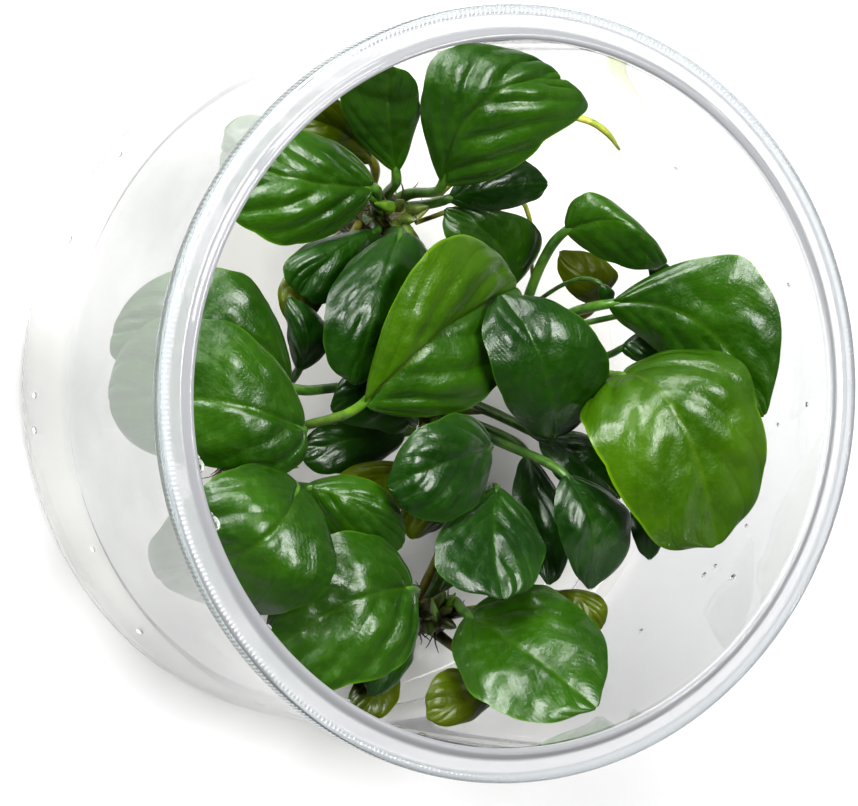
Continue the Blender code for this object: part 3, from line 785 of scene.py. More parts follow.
def rhizome_material():
    """Knobbly rhizome: green-brown flesh under dark fibrous rings."""
    material, tree, out = new_material("rhizome_skin")
    rings = add_node(tree, "ShaderNodeTexWave", {"bands_direction": "Z"},
                     Vector=object_place(tree), **RING_WAVE).outputs[0]
    grain = speckle(tree, *RHIZOME_GRAIN)
    tone = mix_colours(tree, between(tree, grain, 0.35, 0.7), RHIZOME_DARK, RHIZOME_FLESH)
    tone = mix_colours(tree, between(tree, rings, 0.55, 0.95, 0.0, RING_SHARE), tone,
                       RHIZOME_RING)
    normal = bumped(tree, rings, RING_DEPTH, 0.7)
    normal = bumped(tree, grain, RHIZOME_GRAIN_DEPTH, 0.8, normal)
    surface = add_node(tree, "ShaderNodeBsdfPrincipled", Base_Color=tone, Normal=normal,
                       Roughness=between(tree, grain, 0.3, 0.7, *RHIZOME_ROUGHNESS))
    tree.links.new(surface.outputs[0], out.inputs["Surface"])
    return material


def fog_share(tree, depth, height):
    """Return how milky the cup is: patches of fog above the gel, and an even milky lip."""
    fog = between(tree, speckle(tree, *FOG_PATCHES), 0.3, 0.7, *FOG_SHARES)
    for mask in (over_band(tree, height, FOG_TOP, 1.0, 0.0),
                 over_band(tree, height, FOG_FOOT, FOG_BEHIND_GEL, 1.0),
                 over_band(tree, depth, FOG_DEPTH, 1.0, FOG_FAR_SIDE)):
        fog = math_node(tree, "MULTIPLY", fog, mask)
    return math_node(tree, "MAXIMUM", fog, over_band(tree, height, MILKY_RISE, 0.0, MILKY_SHARE))


def cup_material(name, index):
    """Clear moulded plastic, fogged in patches, with a ribbed skirt and a milky lip.
    Painted shade greys its wall, and a painted refraction darkens its skirt.
    """
    material, tree, out = new_material(name)
    x, y, height = add_node(tree, "ShaderNodeSeparateXYZ", Vector=object_place(tree)).outputs
    squares = math_node(tree, "MULTIPLY_ADD", x, x, math_node(tree, "MULTIPLY", y, y))
    skirt = math_node(tree, "MULTIPLY",
                      over_band(tree, math_node(tree, "SQRT", squares), SKIRT_REACH),
                      over_band(tree, height, SKIRT_RISE))
    around = math_node(tree, "ARCTAN2", y, x)
    ribs = math_node(tree, "SINE", math_node(tree, "MULTIPLY", around, SKIRT_RIBS))
    normal = bumped(tree, math_node(tree, "MULTIPLY", ribs, skirt), RIB_DEPTH, RIB_STRENGTH,
                    roughened(tree, CUP_WAVES))
    # Painted shade greys the wall by height, and a painted refraction darkens the skirt
    painted_shade_tint = BASE_TINT
    for band, colour in WALL_PAINTED_SHADE:
        painted_shade_tint = mix_colours(tree, over_band(tree, height, band), painted_shade_tint, colour)
    painted_shade_tint = mix_colours(tree, skirt, painted_shade_tint, SKIRT_PAINTED_REFRACTION)
    clear = clear_surface(tree, index, CUP_ROUGHNESS, Base_Color=painted_shade_tint, Normal=normal)
    white = mix_colours(tree, over_band(tree, height, LIP_WHITE_RISE), FOG_WHITE, LIP_WHITE)
    fog = add_node(tree, "ShaderNodeBsdfTranslucent", Color=white).outputs[0]
    film = add_node(tree, "ShaderNodeBsdfDiffuse", Color=white).outputs[0]
    fogged = mix_shaders(tree, fog_share(tree, y, height), clear,
                         mix_shaders(tree, 0.5, fog, film))
    let_light_in(tree, fogged, out, CUP_SHADE)
    return material


def gel_material(name, index):
    """Clear set gel with a faint cream tint and a soft wet surface."""
    material, tree, out = new_material(name)
    surface = clear_surface(tree, index, GEL_ROUGHNESS, Base_Color=GEL_TINT,
                            Normal=roughened(tree, GEL_WAVES))
    let_light_in(tree, surface, out, GEL_SHADE)
    return material


def water_material():
    """Clear bead of water."""
    material, tree, out = new_material("water_bead")
    surface = clear_surface(tree, WATER_INDEX, 0.0, Base_Color=WATER_TINT)
    let_light_in(tree, surface, out, WATER_SHADE)
    return material


def studio_material():
    """Plain pale studio floor."""
    material, tree, out = new_material("studio_floor")
    tone = mix_colours(tree, speckle(tree, *STUDIO_MOTTLE), *STUDIO_TONES)
    surface = add_node(tree, "ShaderNodeBsdfPrincipled", Base_Color=tone,
                       Roughness=STUDIO_ROUGHNESS)
    tree.links.new(surface.outputs[0], out.inputs["Surface"])
    return material


# Modelling helpers

def deselect():
    """Leave edit mode and deselect everything."""
    if bpy.context.object and bpy.context.object.mode != "OBJECT":
        bpy.ops.object.mode_set(mode="OBJECT")
    bpy.ops.object.select_all(action="DESELECT")


def take(piece):
    """Make this the one selected and active piece."""
    deselect()
    bpy.context.view_layer.objects.active = piece
    piece.select_set(True)


def finished(piece, name, material):
    """Name a piece, give it its material and put its place into its mesh."""
    piece.name = name
    piece.data.name = name
    piece.data.materials.clear()
    piece.data.materials.append(material)
    take(piece)
    bpy.ops.object.transform_apply(location=True, rotation=True, scale=True)
    return piece


def apply_modifier(piece, kind, **settings):
    """Add a modifier, set it up and apply it."""
    take(piece)
    bpy.ops.object.modifier_add(type=kind)
    modifier = piece.modifiers[-1]
    for key, value in settings.items():
        setattr(modifier, key, value)
    bpy.ops.object.modifier_apply(modifier=modifier.name)


def close_up(crisp):
    """Merge the active piece's doubled points, face it outwards and smooth it."""
    bpy.ops.object.mode_set(mode="EDIT")
    bpy.ops.mesh.select_all(action="SELECT")
    bpy.ops.mesh.remove_doubles(threshold=MERGE)
    bpy.ops.mesh.normals_make_consistent(inside=False)
    bpy.ops.object.mode_set(mode="OBJECT")
    bpy.ops.object.shade_smooth_by_angle(angle=crisp)


def arc_points(centre, radius, start, end, steps):
    """Return points along an arc in the profile plane, angles in degrees."""
    points = []
    for step in range(steps + 1):
        angle = math.radians(start + (end - start) * step / steps)
        points.append((centre[0] + radius * math.cos(angle),
                       centre[1] + radius * math.sin(angle)))
    return points


def supported(points):
    """Add points near the ends of long straights, so that smoothing leaves them straight."""
    filled = [points[0]]
    for here, there in zip(points, points[1:]):
        span = math.dist(here, there)
        if span > 4 * SUPPORT:
            for share in (SUPPORT / span, 1 - SUPPORT / span):
                filled.append(tuple(a + (b - a) * share for a, b in zip(here, there)))
        filled.append(there)
    return filled


def turned(name, points, steps, material):
    """Turn a profile of radius and height, in millimetres, round the upright axis."""
    points = supported(points)
    deselect()
    bpy.ops.mesh.primitive_plane_add(size=MM)
    piece = bpy.context.object
    bpy.ops.object.mode_set(mode="EDIT")
    bpy.ops.mesh.merge(type="CENTER")
    first = points[0]
    bpy.ops.transform.translate(value=(first[0] * MM, 0, first[1] * MM))
    for here, there in zip(points, points[1:]):
        step = ((there[0] - here[0]) * MM, 0, (there[1] - here[1]) * MM)
        bpy.ops.mesh.extrude_region_move(TRANSFORM_OT_translate={"value": step})
    bpy.ops.mesh.select_all(action="SELECT")
    bpy.ops.mesh.spin(steps=steps, angle=math.tau, center=(0, 0, 0), axis=(0, 0, 1))
    close_up(CRISP_TURNED)
    return finished(piece, name, material)


def tube(points, radii, material, smoothness=2):
    """Make a closed round tube through points, with a radius at each, in millimetres."""
    deselect()
    bpy.ops.curve.primitive_bezier_curve_add()
    curve = bpy.context.object.data
    curve.splines.clear()
    spline = curve.splines.new("BEZIER")
    spline.bezier_points.add(len(points) - 1)
    for place, radius, knot in zip(points, radii, spline.bezier_points):
        knot.co = Vector(place) * MM
        knot.radius = radius
        knot.handle_left_type = "AUTO"
        knot.handle_right_type = "AUTO"
    curve.dimensions = "3D"
    curve.resolution_u = 5
    curve.bevel_depth = MM
    curve.bevel_resolution = smoothness
    curve.use_fill_caps = True
    bpy.ops.object.convert(target="MESH")
    close_up(CRISP_TUBE)
    return finished(bpy.context.object, "tube", material)


def joined(name, pieces):
    """Join pieces into the first of them."""
    deselect()
    for piece in pieces:
        piece.select_set(True)
    bpy.context.view_layer.objects.active = pieces[0]
    bpy.ops.object.join()
    whole = bpy.context.object
    whole.name = name
    whole.data.name = name
    return whole


def belongs(piece, slot, *nodes):
    """Fix a finished piece to the part, in place of its plain solids if it names them."""
    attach(piece, BODY)
    if nodes:
        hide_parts(*nodes)


# Cup and gel

def rim_profile():
    """Return the rim's outline: flange, skirt, shoulder and lip, up to the mouth."""
    mouth = wall_radius(CUP_HEIGHT)
    shoulder = CUP_HEIGHT - LIP_HEIGHT
    skirt_inner = RIM_RADIUS - SKIRT_WALL
    under = FLANGE_UNDER - FLANGE_FILLET
    foot = SKIRT_FOOT + FOOT_FILLET
    points = []
    for centre, fillet, start, end, steps in (
            ((WALL_TOP_RADIUS + FLANGE_FILLET, under), FLANGE_FILLET, 180, 90, FILLET_STEPS),
            ((skirt_inner - FLANGE_FILLET, under), FLANGE_FILLET, 90, 0, FILLET_STEPS),
            ((skirt_inner + FOOT_FILLET, foot), FOOT_FILLET, 180, 270, FILLET_STEPS),
            ((RIM_RADIUS - FOOT_FILLET, foot), FOOT_FILLET, 270, 360, FILLET_STEPS),
            ((RIM_RADIUS - SHOULDER_FILLET, shoulder - SHOULDER_FILLET), SHOULDER_FILLET, 0, 90,
             SHOULDER_STEPS)):
        points += arc_points(centre, fillet, start, end, steps)
    for step in range(LIP_STEPS + 1):
        share = step / LIP_STEPS
        rise = 0.5 - 0.5 * math.cos(math.pi * share)
        points.append((mouth + LIP_FOOT + (LIP_CREST - LIP_FOOT) * share,
                       shoulder + LIP_HEIGHT * rise))
    return points + arc_points((mouth + LIP_FILLET, CUP_HEIGHT - LIP_FILLET), LIP_FILLET,
                               90, 180, LIP_FILLET_STEPS)


def cup_profile():
    """Return the cup's turned outline, from the middle of the base round to the floor."""
    floor_top = FLOOR + FLOOR_STEP
    inner_corner = BASE_CORNER - WALL
    centre = WALL_BASE_RADIUS - BASE_CORNER
    points = [(0, 0)]
    points += arc_points((centre, BASE_CORNER), BASE_CORNER, -90, 0, CORNER_STEPS)
    points += [(WALL_TOP_RADIUS, SKIRT_FOOT)]
    points += rim_profile()
    inner = arc_points((centre, floor_top + inner_corner), inner_corner, 0, -90, CORNER_STEPS)
    points += [(wall_radius(inner[0][1]), inner[0][1])] + inner[1:]
    points += [(FLOOR_STEP_RADIUS + FLOOR_STEP_RUN, floor_top), (FLOOR_STEP_RADIUS, FLOOR),
               (0, FLOOR)]
    return points


def is_wetted(radius, height):
    """Tell whether this place on the cup, in millimetres, is inner skin under the gel."""
    centre = WALL_BASE_RADIUS - BASE_CORNER
    if height > GEL_TOP + GEL_MENISCUS:
        return False
    if radius < centre:
        return height > FLOOR / 2
    if height < BASE_CORNER:
        return math.hypot(radius - centre, height - BASE_CORNER) < BASE_CORNER - WALL / 2
    return radius < wall_radius(height) + WALL / 2


def build_cup(plastic, wetted):
    """Cup with a stepped floor, a tapered wall, a skirted rim and a raised lip."""
    cup = turned("cup_clear", cup_profile(), CUP_STEPS, plastic)
    cup.data.materials.append(wetted)
    for polygon in cup.data.polygons:
        x, y, height = polygon.center / MM
        polygon.material_index = int(is_wetted(math.hypot(x, y), height))
    belongs(cup, "clear", "cup")


def build_gel(gel, held):
    """Bed of gel that climbs the wall a little at its edge."""
    under = FLOOR + FLOOR_STEP + GEL_CLEARANCE
    reach = wall_radius(BASE_CORNER + GEL_CORNER_RISE) - GEL_CLEARANCE
    edge = wall_radius(GEL_TOP) - GEL_CLEARANCE
    points = [(0, under)]
    points += arc_points((reach - GEL_CORNER, under + GEL_CORNER), GEL_CORNER, -90, 0,
                         GEL_CORNER_STEPS)
    for step in range(MENISCUS_STEPS + 1):
        inward = step / MENISCUS_STEPS
        points.append((edge - MENISCUS_REACH * inward,
                       GEL_TOP + GEL_MENISCUS * (1 - inward) ** MENISCUS_CURVE))
    points += [(GEL_LEVEL_RADIUS, GEL_TOP), (0, GEL_TOP)]
    bed = turned("gel_bed", points, CUP_STEPS, gel)
    bed.data.materials.append(held)
    for polygon in bed.data.polygons:
        polygon.material_index = int(polygon.normal.z < GEL_TOP_SLOPE)
    belongs(bed, "gel", "gel")


# Rhizomes and petiole feet

def crown_place(name):
    """Return the foot of a rhizome's upright axis on the table plane."""
    (across, up), top = CROWNS[name]
    point = seen_at(across, up, top)
    return Vector((point.x, point.y, 0))


def outward(angle):
    """Return the level direction at this angle."""
    return Vector((math.cos(angle), math.sin(angle), 0))


def part_way(span, share):
    """Return the value at this share of the way along a span."""
    return span[0] + (span[1] - span[0]) * share


def rhizome_radius(top, height):
    """Return a rhizome's plain radius: a blunt top, and a taper to its root in the gel."""
    if height > GEL_TOP - CROWN_SINK:
        return CROWN_RADIUS * min(1.0, CROWN_TIP + (top - height) / CROWN_TAPER) ** CROWN_CURVE
    rise = (height - GEL_TOP + RHIZOME_SINK) / (RHIZOME_SINK - CROWN_SINK)
    return part_way(RHIZOME_FOOT_RADII, rise)


def knobbly(spot, place):
    """Return how far a rhizome's skin stands out at this spot, in millimetres."""
    scar = SCAR_DEPTH * math.sin(spot.z * SCAR_RATE)
    lump = LUMP_DEPTH * noise.noise(spot * LUMP_RATE + place * LUMP_SHIFT)
    ripple = RIPPLE_DEPTH * noise.noise(spot * RIPPLE_RATE + place)
    return KNOBBLY * (scar + lump + ripple)


def build_rhizome(name, skin):
    """Knobbly rhizome with leaf scars, tapering into its root in the gel."""
    place = crown_place(name)
    top = CROWNS[name][1]
    foot = GEL_TOP - RHIZOME_SINK
    points = [(0.0, top + CROWN_CAP)]
    for height in np.linspace(top, foot, RHIZOME_RINGS):
        points.append((rhizome_radius(top, height), height))
    points.append((0.0, foot - RHIZOME_END))
    piece = turned("rhizome_" + name + "_grown", points, RHIZOME_STEPS, skin)
    for vertex in piece.data.vertices:
        spot = vertex.co / MM
        out = Vector((spot.x, spot.y, 0))
        if out.length > 0.1:
            spot += out.normalized() * knobbly(spot, place)
        vertex.co = (spot + place) * MM
    belongs(piece, "rhizome", "rhizome_" + name)


def spread_feet(headings):
    """Turn feet that share a level apart until they keep their spacing."""
    for _ in range(SPREAD_ROUNDS):
        order = sorted(range(len(headings)), key=lambda i: headings[i])
        for near, far in zip(order, order[1:] + order[:1]):
            if near == far:
                continue
            gap = (headings[far] - headings[near]) % math.tau
            if gap < FOOT_SPREAD:
                push = 0.5 * (FOOT_SPREAD - gap)
                headings[near] -= push
                headings[far] += push
    return headings


def plan_feet(crown):
    """Return each of a rhizome's leaves with the foot and heading of its petiole."""
    place = crown_place(crown)
    top = CROWNS[crown][1]
    rows = [row for row in LEAVES if row[0].startswith("leaf_" + crown)]
    rows.sort(key=lambda row: -row[3][2])
    share = math.ceil(len(rows) / FOOT_LEVELS)
    angles = {}
    for row in rows:
        base = seen_at(*row[3])
        angles[row[0]] = math.atan2(base.y - place.y, base.x - place.x) % math.tau
    feet = {}
    for level in range(FOOT_LEVELS):
        names = [row[0] for row in rows[level * share:(level + 1) * share]]
        headings = spread_feet([angles[name] for name in names])
        height = top - FOOT_DEPTH - FOOT_STEP * level
        for name, angle in zip(names, headings):
            out = outward(angle)
            foot = place + out * CROWN_RADIUS * FOOT_INSET + Vector((0, 0, height))
            heading = out * FOOT_HEADING[0] + Vector((0, 0, FOOT_HEADING[1]))
            feet[name] = (foot, heading.normalized())
    return feet


# Leaves

def quirks_of(leaf):
    """Return what sets this leaf apart, over the plain leaf's values."""
    return {**PLAIN, **QUIRKS.get(leaf[0], {})}


def half_width(t, roundness, tip):
    """Return the blade's share of its greatest half width at these stations."""
    near = np.clip(1 - t / WIDEST, 0, 1)
    far = np.clip((t - WIDEST) / (1 - WIDEST), 0, 1)
    rising = np.clip(1 - near ** roundness, 0, 1) ** (1 / roundness)
    falling = np.clip(1 - far ** tip, 0, 1) ** (1 / tip)
    return np.where(t < WIDEST, rising, falling)


def vein_phase(across, along):
    """Return how many side veins lie behind this place on the blade."""
    sweep = VEIN_SWEEP * np.abs(across) ** VEIN_POWER
    return (along - sweep) * VEINS + VEIN_STAGGER * (across > 0)


def blade_frame(leaf):
    """Return the midrib's base, control and tip, and the way from its widest to each side."""
    base, middle, tip, left, right = (np.array(seen_at(*place)) for place in leaf[3:])
    control = 2 * middle - 0.5 * (base + tip)
    at = (1 - WIDEST) ** 2 * base + 2 * WIDEST * (1 - WIDEST) * control + WIDEST ** 2 * tip
    return base, control, tip, left - at, right - at


def midrib(leaf, t):
    """Return points, directions and upward normals along the midrib."""
    base, control, tip, to_left, to_right = blade_frame(leaf)
    t = np.asarray(t)[:, None]
    point = (1 - t) ** 2 * base + 2 * t * (1 - t) * control + t ** 2 * tip
    slope = (1 - t) * (control - base) + t * (tip - control)
    slope /= np.linalg.norm(slope, axis=1, keepdims=True)
    side = (to_right - to_left) / np.linalg.norm(to_right - to_left)
    normal = np.cross(side, slope)
    normal /= np.linalg.norm(normal, axis=1, keepdims=True)
    return point, slope, normal


def grid_stations(along):
    """Return where on the midrib the grid's rows lie, closer together at base and tip."""
    turn = math.pi * along
    return np.where(turn < math.pi / 2, WIDEST * (1 - np.cos(turn)),
                    WIDEST - (1 - WIDEST) * np.cos(turn))


def grid_rows(stations):
    """Return the grid's rows that lie at these stations of the midrib."""
    opening = np.where(stations < WIDEST, 1 - stations / WIDEST,
                       (WIDEST - stations) / (1 - WIDEST))
    return np.arccos(opening) / math.pi


def blade_share(leaf, across, along, phase):
    """Return the blade's half width with its uneven margin, as a share of its greatest."""
    side = np.sign(across)
    scallop = np.abs(np.sin(math.pi * vein_phase(side, along))) - HUMP_MEAN
    uneven = 1 + SCALLOP * scallop
    for order, (depth, rate) in enumerate((RAGGED_BROAD, RAGGED_FINE), 1):
        uneven += depth * np.sin(rate * along + order * (phase + side))
    smooth = half_width(grid_stations(along), leaf[2], quirks_of(leaf)["tip"])
    return smooth * np.where(np.abs(across) > 0, uneven, 1)


def blade_lift(leaf, across, along, share, half, spots, phase):
    """Return how far the blade stands off its plain surface, in millimetres."""
    quirk = quirks_of(leaf)
    away = np.abs(across)
    arch = BLADE_CROWN * half * share * np.sin(math.pi * away ** CROWN_SKEW)
    dents = [sum(noise.noise(Vector(spot) * scale) / (1 + order)
                 for order, scale in enumerate(DENT_SCALES)) for spot in spots]
    hump = np.abs(np.sin(math.pi * vein_phase(across, along))) ** HUMP_POWER - HUMP_MEAN
    body = (np.clip(away * MIDRIB_FADE, 0, 1) * (1 - away ** MARGIN_FADE)
            * np.clip(share * ENDS_FADE, 0, 1))
    vary = 0.75 + 0.5 * np.sin(5 * along + 2 * across + phase)
    groove = np.exp(-(away * share * half / GROOVE_WIDTH) ** 2) * (1 - GROOVE_FADE * along)
    wave = away ** 3 * share * (np.sin(WAVE_RATES[0] * along + phase)
                                + 0.6 * np.sin(WAVE_RATES[1] * along + 3 * phase + across))
    relief = quirk["quilt"] * hump * body * vary - quirk["groove"] * groove
    relief += quirk["wave"] * wave
    return arch + quirk["dent"] * np.array(dents) * share + blade_size(half) * relief


def blade_size(half):
    """Return how large a blade of this half width is, up to one with its full relief."""
    return min(1.0, half / LARGE_BLADE)


def blade_slide(leaf, across, along, share, half):
    """Return how far the blade slides along its midrib: pointed tip, lobes and lagging side."""
    quirk = quirks_of(leaf)
    reach = np.abs(across) * share
    t = grid_stations(along)
    tip_zone = np.clip((t - TIP_START) / (1 - TIP_START), 0, 1) ** 2
    point = quirk["point"] * tip_zone * np.exp(-(reach / TIP_WIDTH) ** 2)
    base_zone = np.clip(1 - t / LOBE_REACH, 0, 1) ** 2
    lobe = quirk["lobe"] * np.sin(math.pi * np.clip(reach / LOBE_WIDTH, 0, 1)) * base_zone
    return blade_size(half) * (point - lobe * (leaf[2] == ROUND)) + quirk["skew"] * across * share


def blade_places(leaf, across, along, phase):
    """Return the blade's surface points, in millimetres, for its grid places."""
    _, _, _, to_left, to_right = blade_frame(leaf)
    point, slope, normal = midrib(leaf, grid_stations(along))
    share = blade_share(leaf, across, along, phase)
    half = 0.5 * (np.linalg.norm(to_left) + np.linalg.norm(to_right))
    lateral = np.where(across[:, None] < 0, to_left, to_right)
    spots = point + lateral * (np.abs(across) * share)[:, None]
    lift = blade_lift(leaf, across, along, share, half, spots, phase)
    slide = blade_slide(leaf, across, along, share, half)
    return spots + normal * lift[:, None] + slope * slide[:, None]


def build_blade(leaf, phase):
    """Thin quilted blade from a fine grid, thinner towards its margin."""
    deselect()
    bpy.ops.mesh.primitive_grid_add(x_subdivisions=BLADE_COLUMNS, y_subdivisions=BLADE_ROWS,
                                    size=2)
    piece = bpy.context.object
    flat = np.zeros(len(piece.data.vertices) * 3, np.float32)
    piece.data.vertices.foreach_get("co", flat)
    flat = flat.reshape(-1, 3)
    across = flat[:, 0].astype(float)
    along = (flat[:, 1].astype(float) + 1) / 2
    places = blade_places(leaf, across, along, phase)
    piece.data.vertices.foreach_set("co", (places * MM).astype(np.float32).ravel())
    thinning = piece.vertex_groups.new(name="thickness")
    for vertex, away in zip(piece.data.vertices, np.abs(across)):
        thinning.add([vertex.index], 1 - MARGIN_THINNING * away ** 6, "REPLACE")
    bpy.ops.object.mode_set(mode="EDIT")
    bpy.ops.mesh.select_all(action="SELECT")
    bpy.ops.mesh.remove_doubles(threshold=MERGE)
    bpy.ops.object.mode_set(mode="OBJECT")
    apply_modifier(piece, "SOLIDIFY", thickness=BLADE_THICKNESS * MM, offset=0.0,
                   vertex_group="thickness", use_rim=True, use_even_offset=False)
    piece.vertex_groups.clear()
    bpy.ops.object.shade_smooth_by_angle(angle=CRISP_BLADE)
    return piece


def paint_right_half_unlit(piece, leaf, material):
    """Give the half right of the midrib another shade, so that the painted light stays on the
    left half.
    """
    piece.data.materials.append(material)
    base, control, tip, to_left, to_right = blade_frame(leaf)
    for polygon in piece.data.polygons:
        spot = np.array(polygon.center) / MM
        share = np.dot(spot - base, tip - base) / np.dot(tip - base, tip - base)
        t = min(1.0, max(0.0, share))
        rib = (1 - t) ** 2 * base + 2 * t * (1 - t) * control + t ** 2 * tip
        polygon.material_index = int(np.dot(spot - rib, to_right - to_left) > 0)


def build_petiole(leaf, foot, heading, stalk, phase):
    """Petiole from its sheath on the rhizome, running out as the blade's keel."""
    stations = np.array(KEEL_STATIONS)
    _, slope, normal = midrib(leaf, stations)
    point = blade_places(leaf, np.zeros(len(stations)), grid_rows(stations), phase)
    base = Vector(point[0])
    span = (base - foot).length
    first = foot + heading * span * PETIOLE_RISE
    last = base - Vector(slope[0]) * min(span * PETIOLE_BEND, PETIOLE_BEND_LIMIT)
    points = []
    for t in PETIOLE_STATIONS:
        points.append((1 - t) ** 3 * foot + 3 * t * (1 - t) ** 2 * first
                      + 3 * t * t * (1 - t) * last + t ** 3 * base)
    for place, up, depth in zip(point, normal, KEEL_DEPTHS):
        points.append(Vector(place - up * depth))
    size = min(1.0, np.linalg.norm(point[-1] - point[0]) / FULL_KEEL) ** 0.5
    return tube(points, [share * PETIOLE_RADIUS * size for share in PETIOLE_TAPER], stalk)


def build_leaves(blades, stalks):
    """Every leaf: its blade and its petiole as one piece."""
    feet = {}
    for crown in CROWNS:
        feet.update(plan_feet(crown))
    for number, leaf in enumerate(LEAVES):
        name, shade = leaf[:2]
        phase = LEAF_PHASE * number
        blade = finished(build_blade(leaf, phase), name + "_blade", blades[shade])
        if name in LIT_FOLD_LEAVES:
            paint_right_half_unlit(blade, leaf, blades[LIT_FOLD_LEAVES[name]])
        petiole = build_petiole(leaf, *feet[name], stalks[shade], phase)
        belongs(joined(name + "_grown", [blade, petiole]), shade, name)


# Fine pieces: roots, fibres, sheaths, shoots, bare roots and beads of water

def build_roots(white):
    """Fine roots that fan out from each rhizome through the gel."""
    for crown in CROWNS:
        place = crown_place(crown)
        strands = []
        for number in range(ROOTS_PER_CROWN):
            angle = math.tau * (number + random.uniform(*ROOT_ANGLES)) / ROOTS_PER_CROWN
            out = outward(angle)
            reach = random.uniform(*ROOT_REACH)
            depth = random.uniform(*ROOT_DEPTH)
            points, radii = [], []
            for t in np.linspace(0, 1, ROOT_POINTS):
                sway = ROOT_SWAY * math.sin(5.0 * t + number) * t
                points.append(place + out * (ROOT_OFFSET + reach * t ** 0.7)
                              + out.cross(Vector((0, 0, 1))) * sway
                              + Vector((0, 0, GEL_TOP - ROOT_START - depth * t ** 1.2)))
                radii.append(part_way(ROOT_RADII, t))
            strands.append(tube(points, radii, white))
        belongs(joined("gel_roots_" + crown, strands), "rhizome")


def build_fibres(brown):
    """Dark dead fibres and old sheaths that ring each rhizome."""
    for crown in CROWNS:
        place = crown_place(crown)
        top = CROWNS[crown][1]
        strands = []
        for number in range(FIBRES_PER_CROWN):
            angle = math.tau * number / FIBRES_PER_CROWN + random.uniform(*FIBRE_ANGLES)
            out = outward(angle)
            start = random.uniform(GEL_TOP + FIBRE_MARGINS[0], top - FIBRE_MARGINS[1])
            length = random.uniform(*FIBRE_LENGTH)
            rise = random.uniform(*FIBRE_RISE)
            points, radii = [], []
            for t in np.linspace(0, 1, FIBRE_POINTS):
                curl = FIBRE_CURL * math.sin(3 * t + number)
                climb = rise * t - FIBRE_DROOP * t * t
                points.append(place + out * (CROWN_RADIUS * FIBRE_INSET + length * t)
                              + out.cross(Vector((0, 0, 1))) * curl
                              + Vector((0, 0, start + length * climb)))
                radii.append(part_way(FIBRE_RADII, t))
            strands.append(tube(points, radii, brown, 1))
        belongs(joined("fibres_" + crown, strands), "rhizome")


def build_sheaths(green):
    """Pointed sheaths that wrap the growing top of each rhizome."""
    for crown in CROWNS:
        place = crown_place(crown)
        top = CROWNS[crown][1]
        sheaths = []
        for number in range(SHEATHS_PER_CROWN):
            out = outward(SHEATH_TURN * number + top)
            offset = SHEATH_OFFSET[0] + SHEATH_OFFSET[1] * number
            lean = SHEATH_LEAN[0] + SHEATH_LEAN[1] * number
            length = SHEATH_LENGTH + SHEATH_VARIES * math.sin(3 * number)
            points = []
            for t, _ in SHEATH_SHAPE:
                points.append(place + out * (offset + lean * length * t)
                              + Vector((0, 0, top - SHEATH_SINK + length * t)))
            sheaths.append(tube(points, [radius for _, radius in SHEATH_SHAPE], green))
        belongs(joined("sheaths_" + crown, sheaths), "rhizome")


def strand(name, places, radii, material, slot):
    """A lone root or shoot through places given as across, up and height."""
    piece = tube([seen_at(*place) for place in places], radii, material)
    piece.name = name
    belongs(piece, slot)


def build_strands(yellow, green):
    """The root tip, the bare root and the young shoots that show between the leaves."""
    strand("root_tip", *ROOT_TIP, yellow, "rhizome")
    strand("root_bare", *ROOT_BARE, yellow, "rhizome")
    for name, foot, tip, radius in SHOOTS:
        places = [tuple(a + (b - a) * t for a, b in zip(foot, tip)) for t in SHOOT_SHAPE]
        radii = [radius * share for share in SHOOT_SHAPE.values()]
        strand(name, places + [tip], radii + [SHOOT_TIP], green, "bright")


def meets_wall(across, up, side):
    """Return where the view through this place meets the wall, and the way off the wall."""
    if side == "lip":
        point = seen_at(across, up, CUP_HEIGHT)
        out = Vector((point.x, point.y, 0)).normalized()
        return out * wall_radius(LIP_BEADS) + Vector((0, 0, LIP_BEADS)), -out
    eye, ray = view_ray(across, up)
    skin = WALL if side == "outside" else 0.0
    height = FLANGE_UNDER
    while height > BASE_CORNER:
        point = eye + ray * ((height - eye.z) / ray.z)
        away = math.hypot(point.x, point.y) - wall_radius(height) - skin
        if (away <= 0) == (side == "outside"):
            out = Vector((point.x, point.y, 0)).normalized()
            return point, out if side == "outside" else -out
        height -= WALL_SEARCH
    raise ValueError("no wall is seen at this place")


def build_beads(water):
    """Beads of water on the wall and lip, each a dome with a flat back."""
    beads = []
    for across, up, radius, side in BEADS:
        point, off = meets_wall(across, up, side)
        deselect()
        bpy.ops.mesh.primitive_uv_sphere_add(segments=BEAD_STEPS, ring_count=BEAD_RINGS,
                                             radius=radius * MM)
        bead = bpy.context.object
        for vertex in bead.data.vertices:
            vertex.co.z = BEAD_DEPTH * max(vertex.co.z, 0.0)
        bpy.ops.object.shade_smooth_by_angle(angle=CRISP_BEAD)
        bead.scale = (1.0, BEAD_LENGTH, 1.0)
        bead.rotation_euler = off.to_track_quat("Z", "Y").to_euler()
        bead.location = (point + off * BEAD_CLEARANCE) * MM
        beads.append(finished(bead, "bead", water))
    belongs(joined("water_beads", beads), "clear")


# Stage

def area_light(name, direction, size, power):
    """Add a soft rectangular light, placed in the view's directions from the cup."""
    right, upward, towards = view_axes()
    way = (direction[0] * right + direction[1] * upward + direction[2] * towards).normalized()
    light = bpy.data.lights.new(name, "AREA")
    light.shape = "RECTANGLE"
    light.size, light.size_y = size
    light.energy = power
    lamp = bpy.data.objects.new(name, light)
    bpy.context.scene.collection.objects.link(lamp)
    lamp.location = Vector(LIGHT_TARGET) + way * LIGHT_DISTANCE
    lamp.rotation_euler = way.to_track_quat("Z", "Y").to_euler()


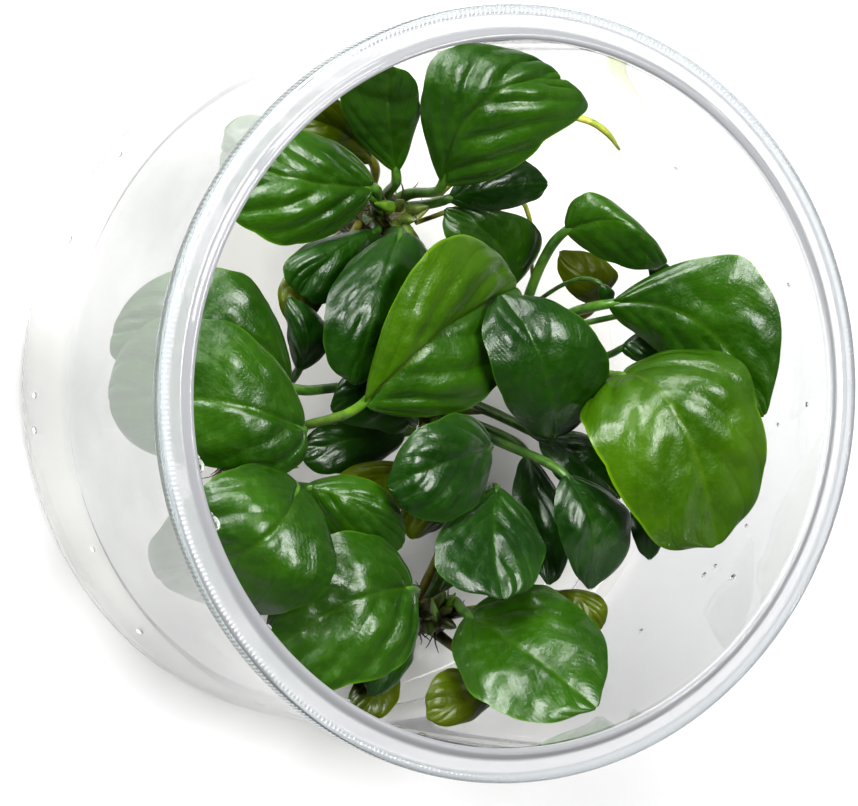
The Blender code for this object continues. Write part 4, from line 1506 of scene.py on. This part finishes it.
def build_surroundings():
    """Plain pale surroundings, brighter towards the horizon."""
    world = bpy.data.worlds.new("surroundings")
    bpy.context.scene.world = world
    world.use_nodes = True
    tree = world.node_tree
    way = tree.nodes.new("ShaderNodeTexCoord").outputs["Generated"]
    rise = add_node(tree, "ShaderNodeSeparateXYZ", Vector=way).outputs[2]
    sky = tree.nodes["Background"].inputs
    feed(tree, sky["Color"], SKY_TINT)
    feed(tree, sky["Strength"], between(tree, rise, *HORIZON_BAND, HORIZON_LIGHT,
                                        OVERHEAD_LIGHT))


def build_camera():
    """Camera that looks into the mouth from off the cup's axis."""
    eye, _ = eye_point()
    camera = bpy.data.cameras.new("camera")
    camera.lens = LENS
    camera.sensor_width = SENSOR
    camera.clip_end = SIGHT
    viewer = bpy.data.objects.new("camera", camera)
    bpy.context.scene.collection.objects.link(viewer)
    turn = Matrix(view_axes()).transposed().to_4x4()
    viewer.matrix_world = Matrix.Translation(eye * MM) @ turn
    bpy.context.scene.camera = viewer


def build_stage(floor_finish):
    """Pale floor, soft lights, plain surroundings and the camera."""
    deselect()
    bpy.ops.mesh.primitive_grid_add(x_subdivisions=STUDIO_SQUARES,
                                    y_subdivisions=STUDIO_SQUARES, size=STUDIO_SIDE,
                                    location=(0, 0, STUDIO_LEVEL * MM))
    finished(bpy.context.object, "floor", floor_finish)
    for name, (direction, size, power) in LIGHTS.items():
        area_light(name, direction, size, power)
    build_surroundings()
    build_camera()
    scene = bpy.context.scene
    scene.view_settings.view_transform = "Standard"
    scene.view_settings.look = "Medium High Contrast"
    scene.cycles.caustics_reflective = False
    scene.cycles.caustics_refractive = False
    scene.cycles.transparent_max_bounces = 16
    scene.cycles.max_bounces = 7
    scene.cycles.diffuse_bounces = 1
    scene.cycles.glossy_bounces = 2


def main():
    """Dress every solid, add the fine pieces and set the stage."""
    random.seed(SEED)
    blades = {shade: blade_material("blade_" + shade, shade) for shade in SHADES}
    stalks = {shade: stalk_material("stalk_" + shade, *STALKS[shade]) for shade in STALKS}
    build_cup(cup_material("clear_plastic", PLASTIC_INDEX),
              cup_material("wetted_plastic", PLASTIC_INDEX / GEL_INDEX))
    build_gel(gel_material("clear_gel", GEL_INDEX), gel_material("held_gel", 1.0))
    skin = rhizome_material()
    for crown in CROWNS:
        build_rhizome(crown, skin)
    build_leaves(blades, stalks)
    build_roots(stalk_material("root_white", *ROOT_WHITE))
    build_sheaths(stalk_material("sheath_green", *SHEATH_GREEN))
    build_fibres(stalk_material("fibre_brown", *FIBRE_BROWN))
    build_strands(stalk_material("root_yellow", *ROOT_YELLOW), stalks["bright"])
    build_beads(water_material())
    build_stage(studio_material())


main()
